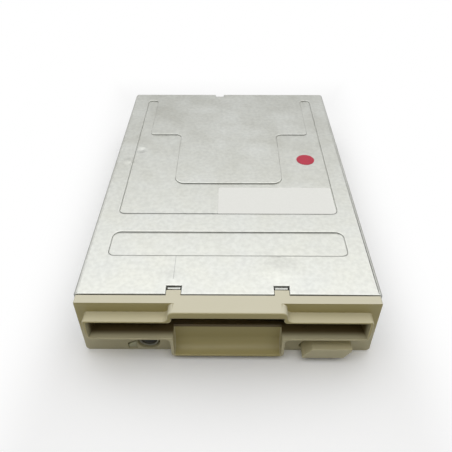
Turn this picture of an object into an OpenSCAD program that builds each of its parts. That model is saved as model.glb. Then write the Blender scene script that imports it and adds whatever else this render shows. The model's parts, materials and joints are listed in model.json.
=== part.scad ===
/* [Disk] */
// Width of a disk
disk_w = 90; // [80:0.1:100]
// Thickness of a disk
disk_t = 3.3; // [2.8:0.1:3.8]
// Drop of the disk onto the spindle
disk_drop = 2.3; // [1.8:0.05:2.6]
// Play above and below the disk in its holder
disk_play = 0.45; // [0.4:0.05:0.6]
// Play at each side of the disk in its holder
disk_side_play = 0.3; // [0.2:0.05:0.6]

/* [Top cover] */
// Thickness of the cover's steel sheet
cover_t = 0.6; // [0.4:0.05:0.8]
// Outer radius of the sheet's bends
cover_bend_r = 1.0; // [0.9:0.1:1.4]
// Fit clearance between the cover and the chassis
cover_gap = 0.1; // [0.05:0.05:0.4]
// Room between the eject slide and the pressed panels
cover_room = 2.4; // [2.2:0.1:4]
// Depth of the side skirts below the top
skirt_depth = 16; // [10:0.5:17]
// Depth of the rear skirt below the top
rear_skirt_depth = 9; // [5:0.5:11]
// Radius of the cover's rear corners
rear_corner_r = 1.8; // [1:0.1:4]
// Depth of the pressed panels
press_depth = 0.6; // [0.3:0.05:0.8]
// Cover's side to the pressed bar
bar_margin = 7.9; // [6:0.1:16]
// Bezel face to the pressed bar
bar_front = 21.7; // [15:0.1:24]
// Length of the pressed bar along the drive
bar_l = 12.9; // [8:0.1:18]
// Radius of the pressed bar's front corners
bar_front_r = 2.2; // [1:0.1:4]
// Radius of the pressed bar's rear corners
bar_rear_r = 3.0; // [1:0.1:6]
// Cover's side to the pressed panel
panel_margin = 7.9; // [6:0.1:12]
// Pressed bar to the pressed panel behind it
panel_gap = 10.4; // [8:0.1:14]
// Length of the panel's front band
band_l = 20.8; // [16:0.1:28]
// Cover's rear edge to the ends of the panel's strips
panel_rear_margin = 6.8; // [5:0.1:14]
// Width of the panel's two strips
strip_w = 5.0; // [4.6:0.1:8]
// Length of the panel's two strips
strip_l = 35.4; // [28:0.1:42]
// Half width of the raised field's stem
stem_half = 22.9; // [18:0.1:30]
// Width of the front notches for the bezel's snaps
notch_w = 5.0; // [4:0.1:7]
// Length of the front notches
notch_l = 3.7; // [3:0.1:6]
// Centre line to each front notch
notch_x = 17.9; // [14:0.1:24]
// Width of the notch in the rear edge
rear_notch_w = 4.3; // [3:0.1:6]
// Length of the notch in the rear edge
rear_notch_l = 2.0; // [1:0.1:3]
// Place of the rear notch across the drive
rear_notch_x = -5.1; // [-20:0.1:20]

/* [Stickers] */
// Thickness of a sticker
sticker_t = 0.12; // [0.08:0.01:0.2]
// Width of the paper label
label_w = 46.6; // [30:0.1:60]
// Length of the paper label
label_l = 17.7; // [10:0.1:19]
// Panel's edge to a sticker
label_edge = 0.4; // [0.3:0.1:2]
// Diameter of the round sticker
dot_d = 8.0; // [5:0.1:10]
// Panel's side to the middle of the round sticker
dot_in = 8.3; // [6:0.1:14]
// Panel's front to the middle of the round sticker
dot_back = 39.5; // [30:0.1:50]

/* [Bezel] */
// Cover's side to the bezel's side
bezel_inset = 0.7; // [0.4:0.1:1.4]
// Gap between the bezel's plate and the cover
cover_set = 0.35; // [0.1:0.05:0.6]
// Thickness of the bezel's plate
bezel_t = 3.3; // [2.5:0.1:4]
// Drop of the bezel's top below the cover
bezel_drop = 0.3; // [0.1:0.05:0.6]
// Radius of the plate's lower corners
bezel_corner_r = 1.4; // [0.4:0.1:2]
// Radius of the plate's upper corners
bezel_top_r = 0.4; // [0.2:0.1:1]
// Reach of the hood in front of the plate
hood_out = 4.2; // [3:0.1:5]
// Bezel's side to the hood
hood_margin = 2.7; // [1.5:0.1:3]
// Height of the hood over the slot's roof
hood_rise = 1.9; // [1.6:0.1:2.8]
// Depth of the hood below the slot's floor
hood_sink = 2.1; // [1.6:0.1:2.6]
// Wall of the hood at its sides
hood_wall = 1.1; // [0.8:0.1:1.6]
// Wall of the hood above the mouth
hood_lip = 0.7; // [0.6:0.1:1.2]
// Wall of the hood below the mouth
hood_sill = 1.1; // [0.8:0.1:1.4]
// Half width of the hood's centre part
centre_half = 19.4; // [16:0.1:22]
// Underside of the finger recess
scoop_bottom = 1.9; // [1:0.05:2.5]
// Height of the mouth over the slot's roof in the centre part
mouth_rise = 3.6; // [2:0.1:4.4]
// Back wall of the finger recess behind the bezel face
scoop_back = 0.9; // [0:0.1:1.2]
// Radius at the foot of the finger recess
scoop_r = 4.2; // [2:0.1:5]
// Floor of the slot below an incoming disk
slot_under = 1.55; // [0.8:0.05:1.8]
// Roof of the slot above an incoming disk
slot_over = 0.95; // [0.6:0.05:1.4]
// Depth of the funnel behind the mouth
mouth_bevel = 5.0; // [2:0.1:6]
// Width of the grooves in the slot floor
groove_w = 0.5; // [0.3:0.05:0.8]
// Centre line to each groove
groove_x = 25.6; // [22:0.1:34]

/* [Eject button] */
// Bezel's side to the button
button_margin = 7.9; // [6.5:0.1:9]
// Width of the button
button_w = 16.6; // [14:0.1:18]
// Underside of the button
button_z = 2.5; // [1.8:0.05:2.6]
// Height of the button
button_h = 4.7; // [4:0.1:6]
// Slant of the button's upper left end
button_slant = 3.2; // [1:0.1:4]
// Slant of the button's lower right end
button_cut = 2.3; // [1:0.1:4]
// Height of the short upright edges
button_edge = 0.95; // [0.6:0.05:1.5]
// Reach of the button in front of the bezel face
button_out = 5.0; // [4.5:0.1:7]
// Gap round the button in the bezel
button_gap = 0.6; // [0.3:0.05:0.8]
// Wall of the button
button_wall = 1.2; // [0.8:0.1:1.6]

/* [Lamp] */
// Side of the hood's centre part to the lamp
lamp_in = 8.2; // [7:0.1:11]
// Height of the lamp
lamp_z = 4.7; // [4.4:0.1:5]
// Radius of the lamp's lens
lamp_r = 2.9; // [2:0.1:3]
// Thickness of the collar round the lens
collar_t = 0.5; // [0.3:0.05:0.6]
// Gap round the collar in the bezel
lamp_gap = 0.6; // [0.3:0.05:0.8]
// Width of the window beside the lamp
window_w = 3.2; // [2:0.1:4]
// Height of the window beside the lamp
window_h = 4.7; // [3.4:0.1:5]
// Drop of the window's top below its hole
window_drop = 0.8; // [0:0.1:1.2]

/* [Chassis] */
// Thickness of the chassis walls
wall_t = 2.5; // [2:0.1:3]
// Gap between the eject slide and the walls
wall_gap = 0.5; // [0.4:0.05:1]
// Underside of the chassis floor
floor_z = 3.0; // [2.9:0.1:4]
// Thickness of the chassis floor
floor_t = 1.6; // [1.2:0.1:1.8]
// Thickness of the rear wall
rear_t = 1.6; // [1.2:0.1:2.4]
// Room between the stepper and the rear wall
rear_room = 7.3; // [7:0.1:20]
// Core radius of the side mounting threads
mount_r = 1.25; // [1.2:0.01:1.3]
// Height of the side mounting holes
mount_z = 5.0; // [4.8:0.1:6]
// Bezel face to the first mounting hole
mount_y = 21; // [20:0.1:23]
// First to last mounting hole
mount_pitch = 90; // [80:0.1:100]
// First to middle mounting hole
mount_mid = 60; // [52:0.1:66]

/* [Eject slide and holder] */
// Thickness of the holder's sheet
holder_t = 0.6; // [0.4:0.05:0.7]
// Bezel's back to the holder
holder_set = 5.7; // [5:0.1:8]
// Heads to the holder's rear end
holder_tail = 14.5; // [10:0.1:15]
// Width of the holder's lower rails
rail_w = 7.5; // [7:0.1:9]
// Radius of the holder's guide pins
pin_r = 1.0; // [0.8:0.05:1.2]
// Front guide pins to the spindle axis
pin_fore = 21; // [18:0.1:23]
// Spindle axis to the rear guide pins
pin_aft = 33; // [26:0.1:35]
// Play of the guide pins in their slots
pin_play = 0.3; // [0.25:0.05:0.5]
// Thickness of the eject slide's sheet
slide_t = 0.8; // [0.6:0.05:0.9]
// Gap between the holder and the slide's flanges
slide_gap = 0.4; // [0.3:0.05:0.5]
// Height of the slide's plate over the holder
slide_rise = 2.1; // [1.8:0.1:2.6]
// Length of the slide's plate
slide_l = 48; // [46:0.5:54]
// Forward travel of the eject slide when a disk drops
slide_travel = 4.5; // [4:0.1:4.8]
// Rearward travel of the eject slide past its latch
slide_over = 0.5; // [0.2:0.1:0.6]
// Radius of the slide's tension springs
tension_r = 0.8; // [0.5:0.05:0.85]
// Length of the slide's tension springs
tension_l = 39; // [34:0.5:42]

/* [Shutter lever] */
// Holder's side to the lever's pivot
lever_in = 7.3; // [6.5:0.1:8]
// Lever's pivot to the heads
lever_fore = 0.5; // [0:0.1:2]
// Length of the lever
lever_l = 26; // [24:0.1:26.5]
// Width of the lever
lever_w = 4.4; // [3.6:0.1:5]
// Thickness of the lever
lever_t = 0.9; // [0.6:0.05:1]
// Angle of the lever from straight across, swung forward
lever_angle = 25; // [20:1:27]
// Radius of the lever's rivet
rivet_r = 1.5; // [1.2:0.05:1.8]

/* [Spindle motor] */
// Bezel face to the spindle axis
spindle_y = 51; // [49:0.1:56]
// Radius of the rotor
rotor_r = 27; // [24:0.1:28]
// Thickness of the rotor's cup
rotor_t = 1.2; // [0.8:0.05:1.4]
// Room between the stator and the rotor's cup
rotor_room = 1.0; // [0.7:0.1:1.6]
// Height of the stator core
stator_h = 2.4; // [2:0.1:3]
// Radius of the hub chuck
chuck_r = 12; // [11.5:0.1:13]
// Height of the hub chuck
chuck_h = 4.0; // [3.8:0.1:4.6]
// Radius of the spindle shaft
shaft_r = 2.0; // [1.8:0.05:2.2]
// Running clearance of a shaft or rod in its bore
run_gap = 0.04; // [0.02:0.01:0.09]
// Radius of the drive pin
drive_pin_r = 1.6; // [1.3:0.05:1.7]
// Spindle axis to the drive pin
drive_pin_x = 8.7; // [8.4:0.1:9]
// Thickness of the motor board
motor_board_t = 1.0; // [0.8:0.05:1.2]
// Rotor to the motor board's sides
motor_board_margin = 7; // [6:0.1:9]
// Number of stator poles
pole_count = 9; // [6:1:12]

/* [Heads] */
// Radius of the outermost track
track_outer = 39.5; // [39:0.1:43]
// Radius of the guide rods
rod_r = 1.5; // [1.2:0.05:1.6]
// Centre line to each guide rod
rod_x = 16; // [15.8:0.1:16.6]
// Guide rods below the carriage's deck
rod_drop = 2.3; // [2.1:0.1:2.4]
// Half width of the carriage body
carriage_half = 12; // [11:0.1:12.4]
// Half width of a head slider
head_half = 3.5; // [2.5:0.1:4]
// Length of a head slider
head_l = 6; // [4:0.1:6.4]
// Height of the upper arm's hinge over the medium
hinge_rise = 3.6; // [3.5:0.1:3.9]
// Heads to the hinge axis
hinge_reach = 24; // [23.5:0.1:26]
// Lift of the upper arm while no disk is in
arm_lift = 11; // [10.5:0.1:11.5]
// Radius of the hinge pin
hinge_pin_r = 0.8; // [0.6:0.05:0.9]

/* [Stepper] */
// Place of the lead screw across the drive
screw_x = 25; // [24.8:0.1:26.4]
// Height of the lead screw over the guide rods
screw_rise = 4.0; // [3.9:0.1:4.2]
// Radius of the lead screw
screw_r = 1.5; // [1.3:0.05:1.6]
// Radius of the stepper motor
stepper_r = 8; // [7:0.1:8.4]
// Length of the stepper motor
stepper_l = 16; // [13:0.1:18]
// Thickness of the stepper bracket
bracket_t = 1.2; // [0.8:0.05:1.4]

/* [Boards and connectors] */
// Thickness of the main board
board_t = 1.6; // [1:0.1:1.6]
// Length of the main board
board_l = 42.5; // [38:0.1:46]
// Contact pitch of both connectors
contact_pitch = 2.54; // [2.5:0.01:2.56]
// Contacts in one row of the signal connector
signal_count = 17; // [13:1:17]
// Contacts of the power connector
power_count = 4; // [3:1:4]
// Width of a contact
contact_w = 0.64; // [0.5:0.02:0.8]
// Chassis wall to either connector
connector_in = 1.3; // [1:0.1:2]
// Height of the signal connector's housing
signal_h = 9.2; // [8.6:0.1:9.6]
// Height of the power connector's housing
power_h = 7.2; // [6.6:0.1:8]
// Wall of the connector housings
housing_t = 1.2; // [0.8:0.05:1.4]
// Depth of the connector housings
housing_l = 9.4; // [8:0.1:9.8]
// Side of the controller chip
controller_w = 14; // [10:0.1:16]
// Width of the driver chip
driver_w = 12; // [8:0.1:13]
// Length of the driver chip
driver_l = 9; // [6:0.1:10]
// Height of the chips
chip_t = 1.2; // [0.8:0.05:1.3]
// Radius of a capacitor
capacitor_r = 2.5; // [1.5:0.1:3]
// Height of a capacitor
capacitor_h = 5.5; // [4:0.1:7]

/* [Switches] */
// Radius of a switch plunger
plunger_r = 1.2; // [0.8:0.05:1.4]
// Travel of a switch plunger
plunger_travel = 1.0; // [0.6:0.05:1.2]
// Holder's side to the switches
switch_in = 4.3; // [4.1:0.1:4.8]
// Bezel face to the first switch
switch_y = 19; // [18.8:0.1:20]
// Distance between the two switches of the left pair
switch_pitch = 7; // [6:0.1:7.4]
// Half width of a switch block
switch_half = 3.5; // [3:0.1:3.7]

/* [Screws] */
// Radius of the screws' shanks
screw_shank_r = 1.0; // [0.8:0.05:1.2]
// Radius of the screws' heads
screw_head_r = 2.0; // [1.6:0.05:2.2]
// Height of the screws' heads
screw_head_h = 1.0; // [0.8:0.05:1.1]

/* [Hidden] */
$fn = 48;
eps = 0.01;
arc_steps = 6;
screw_gap = 0.05;
seat_gap = 0.3;

// From the disk out to the cover's sides
holder_in = disk_w / 2 + disk_side_play;
holder_out = holder_in + holder_t;
flange_in = holder_out + slide_gap;
flange_out = flange_in + slide_t;
wall_in = flange_out + wall_gap;
wall_out = wall_in + wall_t;
half_w = wall_out + cover_gap + cover_t;

// From the motor board up to a loaded disk
floor_top = floor_z + floor_t;
motor_board_z = [floor_z - motor_board_t, floor_z];
bearing_flange_z = [floor_z, floor_z + 1];
stator_z = [bearing_flange_z[1], bearing_flange_z[1] + stator_h];
rotor_top = stator_z[1] + rotor_room + rotor_t;
rotor_low = stator_z[0] + 0.4;
chuck_top = rotor_top + chuck_h;
shaft_top = chuck_top + 1.4;
disk_low = chuck_top - 0.35;
disk_z = disk_low + disk_drop;

// The holder and the slide over it, with the slide latched and the holder up
rail_top = disk_z - disk_play;
rail_under = rail_top - holder_t;
roof_under = disk_z + disk_t + disk_play;
roof_top = roof_under + holder_t;
slide_under = roof_top + slide_rise;
slide_top = slide_under + slide_t;
pan_under = slide_top + cover_room;
pan_top = pan_under + cover_t;
case_h = pan_top + press_depth;
cover_under = case_h - cover_t;

// From the spindle back to the cover's rear edge
head_y = spindle_y + track_outer;
hinge_y = head_y + hinge_reach;
carriage_rear = hinge_y + 2;
post_l = 3;
post_ys = [spindle_y + rotor_r - 1, carriage_rear];
bracket_rear = carriage_rear + post_l + 2.1;
stepper_rear = bracket_rear + stepper_l;
stepper_cap = 1;
chassis_rear = stepper_rear + stepper_cap + rear_room + rear_t;
case_l = chassis_rear + cover_gap + cover_t;
mid_y = (case_l - max(button_out, hood_out)) / 2;

// The bezel's heights and the cover's plan
bezel_h = case_h - bezel_drop;
slot_floor = disk_z - slot_under;
slot_roof = disk_z + disk_t + slot_over;
hood_top = slot_roof + hood_rise;
hood_bottom = slot_floor - hood_sink;
centre_mouth_top = slot_roof + mouth_rise;
bezel_half = half_w - bezel_inset;
hood_half = bezel_half - hood_margin;
mouth_x = hood_half - hood_wall;
mouth_z = [hood_bottom + hood_sill, hood_top - hood_lip];
centre_in = centre_half - hood_wall;
hood_corner_r = 1.2;
hood_fillet_r = 1.8;
hood_shoulder_r = 2.2;
rim_l = 0.8;
rim_r = 0.5;
snap_l = 0.55 * notch_l;
snap_t = 1;
clip_x = [6, 12];
clip_z = [floor_z - 1.8, floor_z - 0.1];
cover_front = bezel_t + cover_set;
pan_lap = cover_t;
bar_half = half_w - bar_margin;
panel_half = half_w - panel_margin;
panel_front = bar_front + bar_l + panel_gap;
panel_rear = case_l - panel_rear_margin;
step_y = panel_rear - strip_l;
stem_front = panel_front + band_l;
dot_x = panel_half - dot_in;
dot_y = panel_front + dot_back;
window_l = 8;
window_h_side = 1.6;

// The button, the lamp and their places in the front
button_x = bezel_half - button_margin - button_w;
button_back = bezel_t + slide_travel + seat_gap;
button_face_t = 1.6;
tail_z = [floor_z, floor_z + 3.4];
tail_l = 5;
tail_in = 7;
lamp_x = -centre_half - lamp_in;
lens_y = [1.0, 6.5];
collar_y = [0.7, 7.5];
foot_y = [collar_y[1] - 0.5, collar_y[1] + 4.5];
foot_half = 3;

// The chassis
chassis_front = bezel_t + seat_gap;
floor_front = chassis_front + 2.4;
relief_w = 2.8;
wall_step = 0.5;
lamp_cut = 8;
motor_hole_r = rotor_r + 2;
cut_gap = 0.4;

// The holder's pins and openings, and the slide's springs
holder_front = bezel_t + holder_set;
holder_rear = head_y + holder_tail;
pin_z = (rail_under + roof_top) / 2;
pin_ys = [spindle_y - pin_fore, spindle_y + pin_aft];
pin_end = wall_in + 0.75 * wall_t;
pin_low = pin_z - disk_drop - pin_r - pin_play;
drop_rate = disk_drop / slide_travel;
slide_front = holder_front + 1;
flange_rear = pin_ys[1] + 12;
flange_low = pin_low - 1;
window_r = 14;
tension_x = holder_in - 2.8;
tension_z = slide_top + tension_r + 0.4;
tension_tab_half = 1.5;
tension_tab_h = 2 * tension_r + 0.4;
hook_y = chassis_front + 7.4;
hook_t = 1.2;
hook_h = 2;
slide_tab_y = hook_y + tension_l;
arm_hole_half = 13;
arm_hole_front = head_y - 26.5;
lever_hole_front = head_y - 16.5;

// The lever on the holder's roof
lever_x = lever_in - holder_in;
lever_y = head_y - lever_fore;
lever_gap = 0.15;
lever_z = [roof_top + lever_gap, roof_top + lever_gap + lever_t];
lever_tail = 3.5;
lever_hole_side = lever_x + lever_l - 6;
finger_r = 1.0;
finger_low = rail_top + 1.1;
rivet_head_r = rivet_r + 1.1;
spring_z = [lever_z[1] + lever_gap, lever_z[1] + 1.7];
rivet_head_z = [spring_z[1] + 0.2, spring_z[1] + 0.8];

// The spindle motor
motor_board_half = rotor_r + motor_board_margin;
motor_board_y = [spindle_y - motor_board_half + 1, spindle_y + motor_board_half - 1];
bearing_r = shaft_r + 2.2;
bearing_rim = 2;
magnet_out = rotor_r - rotor_t - 0.05;
magnet_in = magnet_out - 5;
stator_r = magnet_in - 0.7;
pole_half = 1.2;
shoe_half = 4;
coil_half = 2.2;
coil_x = [bearing_r + 4.6, stator_r - 2.6];
chuck_seat_r = shaft_r + 4;
chuck_seat_h = 2;
pin_spring_h = 1.2;
motor_screw_xy = [motor_board_half - 4, spindle_y - motor_board_y[0] - 11];

// The head carriage at the outermost track
medium_z = disk_low + disk_t / 2;
deck_top = disk_low - disk_play;
deck_under = deck_top - 1.8;
deck_half = 8;
deck_y = [head_y - head_l / 2 - 4, head_y + 9];
rod_z = deck_top - rod_drop;
hinge_z = medium_z + hinge_rise;
carriage_under = rod_z - rod_r - 0.8;
ear_x = [6, 9];
ear_r = 2.2;
bush_y = [head_y + 6.5, carriage_rear - 2.5];
bush_out = rod_x + 3.5;
bush_top = rod_z + rod_r + 0.9;
follower_y = [head_y + 12, head_y + 16];
post_x = [rod_x - 3, rod_x + 6];
post_top = rod_z + rod_r - 0.1;
clamp_z = [rod_z + rod_r, rod_z + rod_r + 0.7];
clamp_screw_x = rod_x + 4.2;
clamp_shank_r = 0.8;
clamp_head_r = 1.5;
clamp_head_h = 1;
flag_z = [rod_z + rod_r + 0.1, bush_top];
flag_x = -bush_out - 4.8;
flag_y = [head_y + 18, bush_y[1]];
sensor_x = [flag_x - 3.7, -bush_out - 2];
sensor_y = [head_y + 18.5, head_y + 24.5];
arm_z = [-0.5, 0.7];
arm_half = 6.4;
knuckle_r = 2;
knuckle_x = [-5.6, 2];
tab_y = [-13.5, -10.5];
tab_low = -0.2;
flex_x = [-10, -2];
flex_t = 0.2;
flex_l = 14.5;
flex_set = 1.5;

// The stepper and its bracket
screw_z = rod_z + screw_rise;
screw_front = head_y - 6.5;
bracket_x = [screw_x - 10, screw_x + 10];
strip_x = [screw_x + 1.8, screw_x + 10];
ear_half = 4;
ear_top = roof_under - disk_drop - 0.4;
boss_r = 3;
cap_r = 3.4;
pivot_r = 1.0;
plug_half = 5;
plug_y = [bracket_rear + 5, stepper_rear - 3];
bore_end = stepper_rear - 2;
bracket_screw_x = screw_x + 6;
bracket_screw_ys = [screw_front + 11, screw_front + 28];

// The boards, their connectors and their screws
board_z = [floor_z - board_t, floor_z];
board_half = wall_in - 1.1;
board_rear = chassis_rear - 1;
board_front = board_rear - board_l;
signal_w = signal_count * contact_pitch + 7.6;
signal_x = [connector_in - wall_in, connector_in - wall_in + signal_w];
power_w = power_count * contact_pitch + 1.7;
power_x = [wall_in - connector_in - power_w, wall_in - connector_in];
housing_y = [chassis_rear + 0.1 - housing_l, chassis_rear + 0.1];
housing_back = housing_y[0] + 2;
signal_z = [floor_z, floor_z + signal_h];
power_z = [floor_z, floor_z + power_h];
key_half = 2.3;
contact_gap = 0.02;
leg_gap = 0.05;
leg_in = 0.5;
contact_end = housing_y[1] - 1;
leg_low = board_z[0] - 0.8;
leg_front = housing_y[0] - leg_in - contact_pitch - contact_w;
signal_mid = (signal_z[0] + signal_z[1]) / 2;
signal_rows = [signal_mid - contact_pitch / 2, signal_mid + contact_pitch / 2];
power_row = (power_z[0] + power_z[1]) / 2;
board_screw_in = 4.5;
board_screws_at = [
    [board_screw_in - board_half, board_front + 4],
    [board_half - board_screw_in, board_front + 4],
    [signal_x[1] + 6.4, housing_y[0] + 2.8]];
controller_at = [-19, board_front + 15];
driver_at = [motor_board_half - 14, motor_board_y[0] + 8.5];
capacitors_at = [[-board_half + 6.5, board_front + 20], [-board_half + 13.5, board_front + 20]];

// The switches under the holder's rails
switch_x = holder_in - switch_in;
plunger_top = disk_low + plunger_travel;
plunger_nose = 0.5;
switch_top = rail_under - disk_drop - 0.6;
switch_well = floor_top + 1.2;

// Unit vector from one point of an outline to another
function toward(a, b) = (b - a) / norm(b - a);

// The round corner at point i of an outline of [x, y, radius] points
function corner(outline, i) =
    let (n = len(outline),
        here = [outline[i][0], outline[i][1]],
        before = outline[(i + n - 1) % n],
        after = outline[(i + 1) % n],
        u = toward(here, [before[0], before[1]]),
        v = toward(here, [after[0], after[1]]),
        half = acos(max(-1, min(1, u * v))) / 2,
        r = outline[i][2],
        middle = here + toward([0, 0], u + v) * r / sin(half),
        first = here + u * r / tan(half) - middle,
        last = here + v * r / tan(half) - middle,
        a = atan2(first[1], first[0]),
        turn = (atan2(last[1], last[0]) - a + 540) % 360 - 180)
    [for (k = [0:arc_steps]) middle + r * [cos(a + turn * k / arc_steps), sin(a + turn * k / arc_steps)]];

// An outline with its corners rounded
function rounded(outline) =
    [for (i = [0:len(outline) - 1])
        each outline[i][2] > 0 ? corner(outline, i) : [[outline[i][0], outline[i][1]]]];

// A rectangle with one radius at its low corners and another at its high ones
function round_rect(x, y, r_low, r_high) =
    rounded([[x[0], y[0], r_low], [x[1], y[0], r_low], [x[1], y[1], r_high], [x[0], y[1], r_high]]);

// A slot with round ends between two points
function slot_outline(a, b, r) =
    let (d = toward(a, b), s = [-d[1], d[0]])
    rounded([for (p = [[a, -1, -1], [b, 1, -1], [b, 1, 1], [a, -1, 1]])
        let (c = p[0] + p[1] * r * d + p[2] * r * s) [c[0], c[1], r * 0.999]]);

// A block between two corners
module slab(x, y, z) {
    translate([x[0], y[0], z[0]])
        cube([x[1] - x[0], y[1] - y[0], z[1] - z[0]]);
}

// An outline seen from the front, given depth along the drive
module front_profile(points, y) {
    translate([0, y[1], 0])
        rotate([90, 0, 0])
            linear_extrude(y[1] - y[0])
                polygon(points);
}

// An outline seen from above, given height
module top_profile(points, z) {
    translate([0, 0, z[0]])
        linear_extrude(z[1] - z[0])
            polygon(points);
}

// An outline seen from the side, given width across the drive
module side_profile(points, x) {
    translate([x[0], 0, 0])
        rotate([90, 0, 90])
            linear_extrude(x[1] - x[0])
                polygon(points);
}

module rod_across(r, x, y, z) {
    translate([x[0], y, z])
        rotate([0, 90, 0])
            cylinder(r = r, h = x[1] - x[0]);
}

module rod_along(r, x, y, z) {
    translate([x, y[0], z])
        rotate([-90, 0, 0])
            cylinder(r = r, h = y[1] - y[0]);
}

module post(r, x, y, z) {
    translate([x, y, z[0]])
        cylinder(r = r, h = z[1] - z[0]);
}

module both_sides() {
    children();
    mirror([1, 0, 0])
        children();
}

// The whole drive stands with its middle over the origin
module placed() {
    translate([0, -mid_y, 0])
        children();
}

// A pan head screw that points up, its head's underside at z
module screw_up(x, y, z, shank_l) {
    difference() {
        union() {
            post(screw_head_r, x, y, [z - screw_head_h, z]);
            post(screw_shank_r, x, y, [z - eps, z + shank_l]);
        }
        for (turn = [0, 90])
            translate([x, y, z - screw_head_h])
                rotate(turn)
                    cube([screw_head_r * 1.2, 0.5, screw_head_h], center = true);
    }
}

// The outer outline of the hood, a wide bar crossed by a deeper centre
function hood_outline() = rounded([
    [-centre_half, scoop_bottom, hood_corner_r], [centre_half, scoop_bottom, hood_corner_r],
    [centre_half, hood_bottom, hood_fillet_r], [hood_half, hood_bottom, hood_corner_r],
    [hood_half, hood_top, hood_corner_r], [centre_half, hood_top, hood_fillet_r],
    [centre_half, bezel_h, hood_shoulder_r], [-centre_half, bezel_h, hood_shoulder_r],
    [-centre_half, hood_top, hood_fillet_r], [-hood_half, hood_top, hood_corner_r],
    [-hood_half, hood_bottom, hood_corner_r], [-centre_half, hood_bottom, hood_fillet_r]]);

// The front rim of the mouth, a wide bar with a higher centre
function mouth_outline() = rounded([
    [-mouth_x, mouth_z[0], rim_r], [mouth_x, mouth_z[0], rim_r],
    [mouth_x, mouth_z[1], rim_r], [centre_in, mouth_z[1], hood_corner_r],
    [centre_in, centre_mouth_top, rim_r], [-centre_in, centre_mouth_top, rim_r],
    [-centre_in, mouth_z[1], hood_corner_r], [-mouth_x, mouth_z[1], rim_r]]);

// The button's slanted outline, grown by a gap
function button_outline(gap) =
    let (left = button_x - gap,
        right = button_x + button_w + gap,
        low = button_z - gap,
        high = button_z + button_h + gap,
        edge = button_edge + gap / 2)
    [[left, low], [right - button_cut, low], [right, high - edge],
        [right, high], [left + button_slant, high], [left, low + edge]];

// The small window beside the lamp, grown by a gap, its top lowered by a drop
function window_outline(gap, drop) =
    let (right = lamp_x - lamp_r - collar_t - lamp_gap - 0.25 + gap,
        left = right - window_w - 2 * gap,
        low = 0.75 - gap,
        high = low + window_h + 2 * gap - drop)
    [[left, low], [right, low], [right, high],
        [right - window_w / 4, high - 0.5], [left, high - window_w * 0.6]];

module front_bezel() {
    scoop_floor = scoop_bottom + hood_wall - 0.1;
    front = -hood_out - 1;
    color("#cfc8a8")
        difference() {
            union() {
                front_profile(
                    round_rect([-bezel_half, bezel_half], [0, bezel_h], bezel_corner_r, bezel_top_r),
                    [0, bezel_t]);
                front_profile(hood_outline(), [-hood_out, eps]);
                both_sides() {
                    slab([notch_x - notch_w / 2 + 0.1, notch_x + notch_w / 2 - 0.1],
                        [bezel_t - eps, cover_front + snap_l], [bezel_h - snap_t, bezel_h]);
                    slab(clip_x, [bezel_t - eps, floor_front + 4], clip_z);
                }
            }
            slab([-holder_in, holder_in], [front, bezel_t + 1], [slot_floor, slot_roof]);
            slab([-centre_in, centre_in], [front, bezel_t + 1], [slot_floor, centre_mouth_top]);
            side_profile(rounded([[front, scoop_floor, 0], [scoop_back, scoop_floor, scoop_r],
                [scoop_back, slot_floor + eps, 0], [front, slot_floor + eps, 0]]), [-centre_in, centre_in]);
            front_profile(mouth_outline(), [front, -hood_out + rim_l]);
            hull() {
                slab([-mouth_x, mouth_x], [-hood_out + rim_l - eps, -hood_out + rim_l], mouth_z);
                slab([-holder_in, holder_in], [-hood_out + mouth_bevel, -hood_out + mouth_bevel + eps],
                    [slot_floor, slot_roof]);
            }
            both_sides()
                slab([groove_x - groove_w / 2, groove_x + groove_w / 2], [front, bezel_t + 1],
                    [slot_floor - groove_w, slot_floor + 1]);
            front_profile(button_outline(button_gap), [-1, bezel_t + 1]);
            rod_along(lamp_r + collar_t + lamp_gap, lamp_x, [-1, bezel_t + 1], lamp_z);
            front_profile(window_outline(0, 0), [-1, bezel_t + 1]);
        }
}

module eject_button() {
    color("#c9c19d")
        difference() {
            front_profile(button_outline(0), [-button_out, button_back]);
            front_profile(button_outline(-button_wall), [-button_out + button_face_t, button_back + 1]);
        }
}

module lamp_lens() {
    color("#2b2a26") {
        rod_along(lamp_r, lamp_x, lens_y, lamp_z);
        intersection() {
            translate([lamp_x, lens_y[0] + lamp_r * 1.5, lamp_z])
                sphere(r = lamp_r * 1.8);
            rod_along(lamp_r, lamp_x, [0, lens_y[0] + 0.1], lamp_z);
        }
    }
}

module lamp_collar() {
    color("#8d8d84")
        difference() {
            union() {
                rod_along(lamp_r + collar_t, lamp_x, collar_y, lamp_z);
                slab([lamp_x - foot_half, lamp_x + foot_half], foot_y, [floor_z, lamp_z + 2]);
            }
            rod_along(lamp_r + contact_gap, lamp_x, [0, lens_y[1] + contact_gap], lamp_z);
        }
}

module lamp_window() {
    color("#a9ad8c")
        front_profile(window_outline(-0.25, window_drop), [0.3, bezel_t + 0.6]);
}

function bar_outline(grow) = round_rect([-bar_half - grow, bar_half + grow],
    [bar_front - grow, bar_front + bar_l + grow], bar_front_r + grow, bar_rear_r + grow);

// Half of the pressed panel, from its front edge round its strip to the raised field's stem
function panel_half_outline(grow) = [
    [panel_half + grow, panel_front - grow, 2.4 + grow],
    [panel_half + grow, panel_rear + grow, 2.2 + grow],
    [panel_half - strip_w - grow, panel_rear + grow, 2.2 + grow],
    [panel_half - strip_w - grow, step_y + grow, 1.6],
    [stem_half - grow, step_y + grow, 2.6 + grow],
    [stem_half - grow, stem_front + grow, 4.2 - grow]];

function panel_outline(grow) =
    let (half = panel_half_outline(grow), n = len(half))
    rounded(concat(half, [for (i = [1:n]) [-half[n - i][0], half[n - i][1], half[n - i][2]]]));

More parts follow.
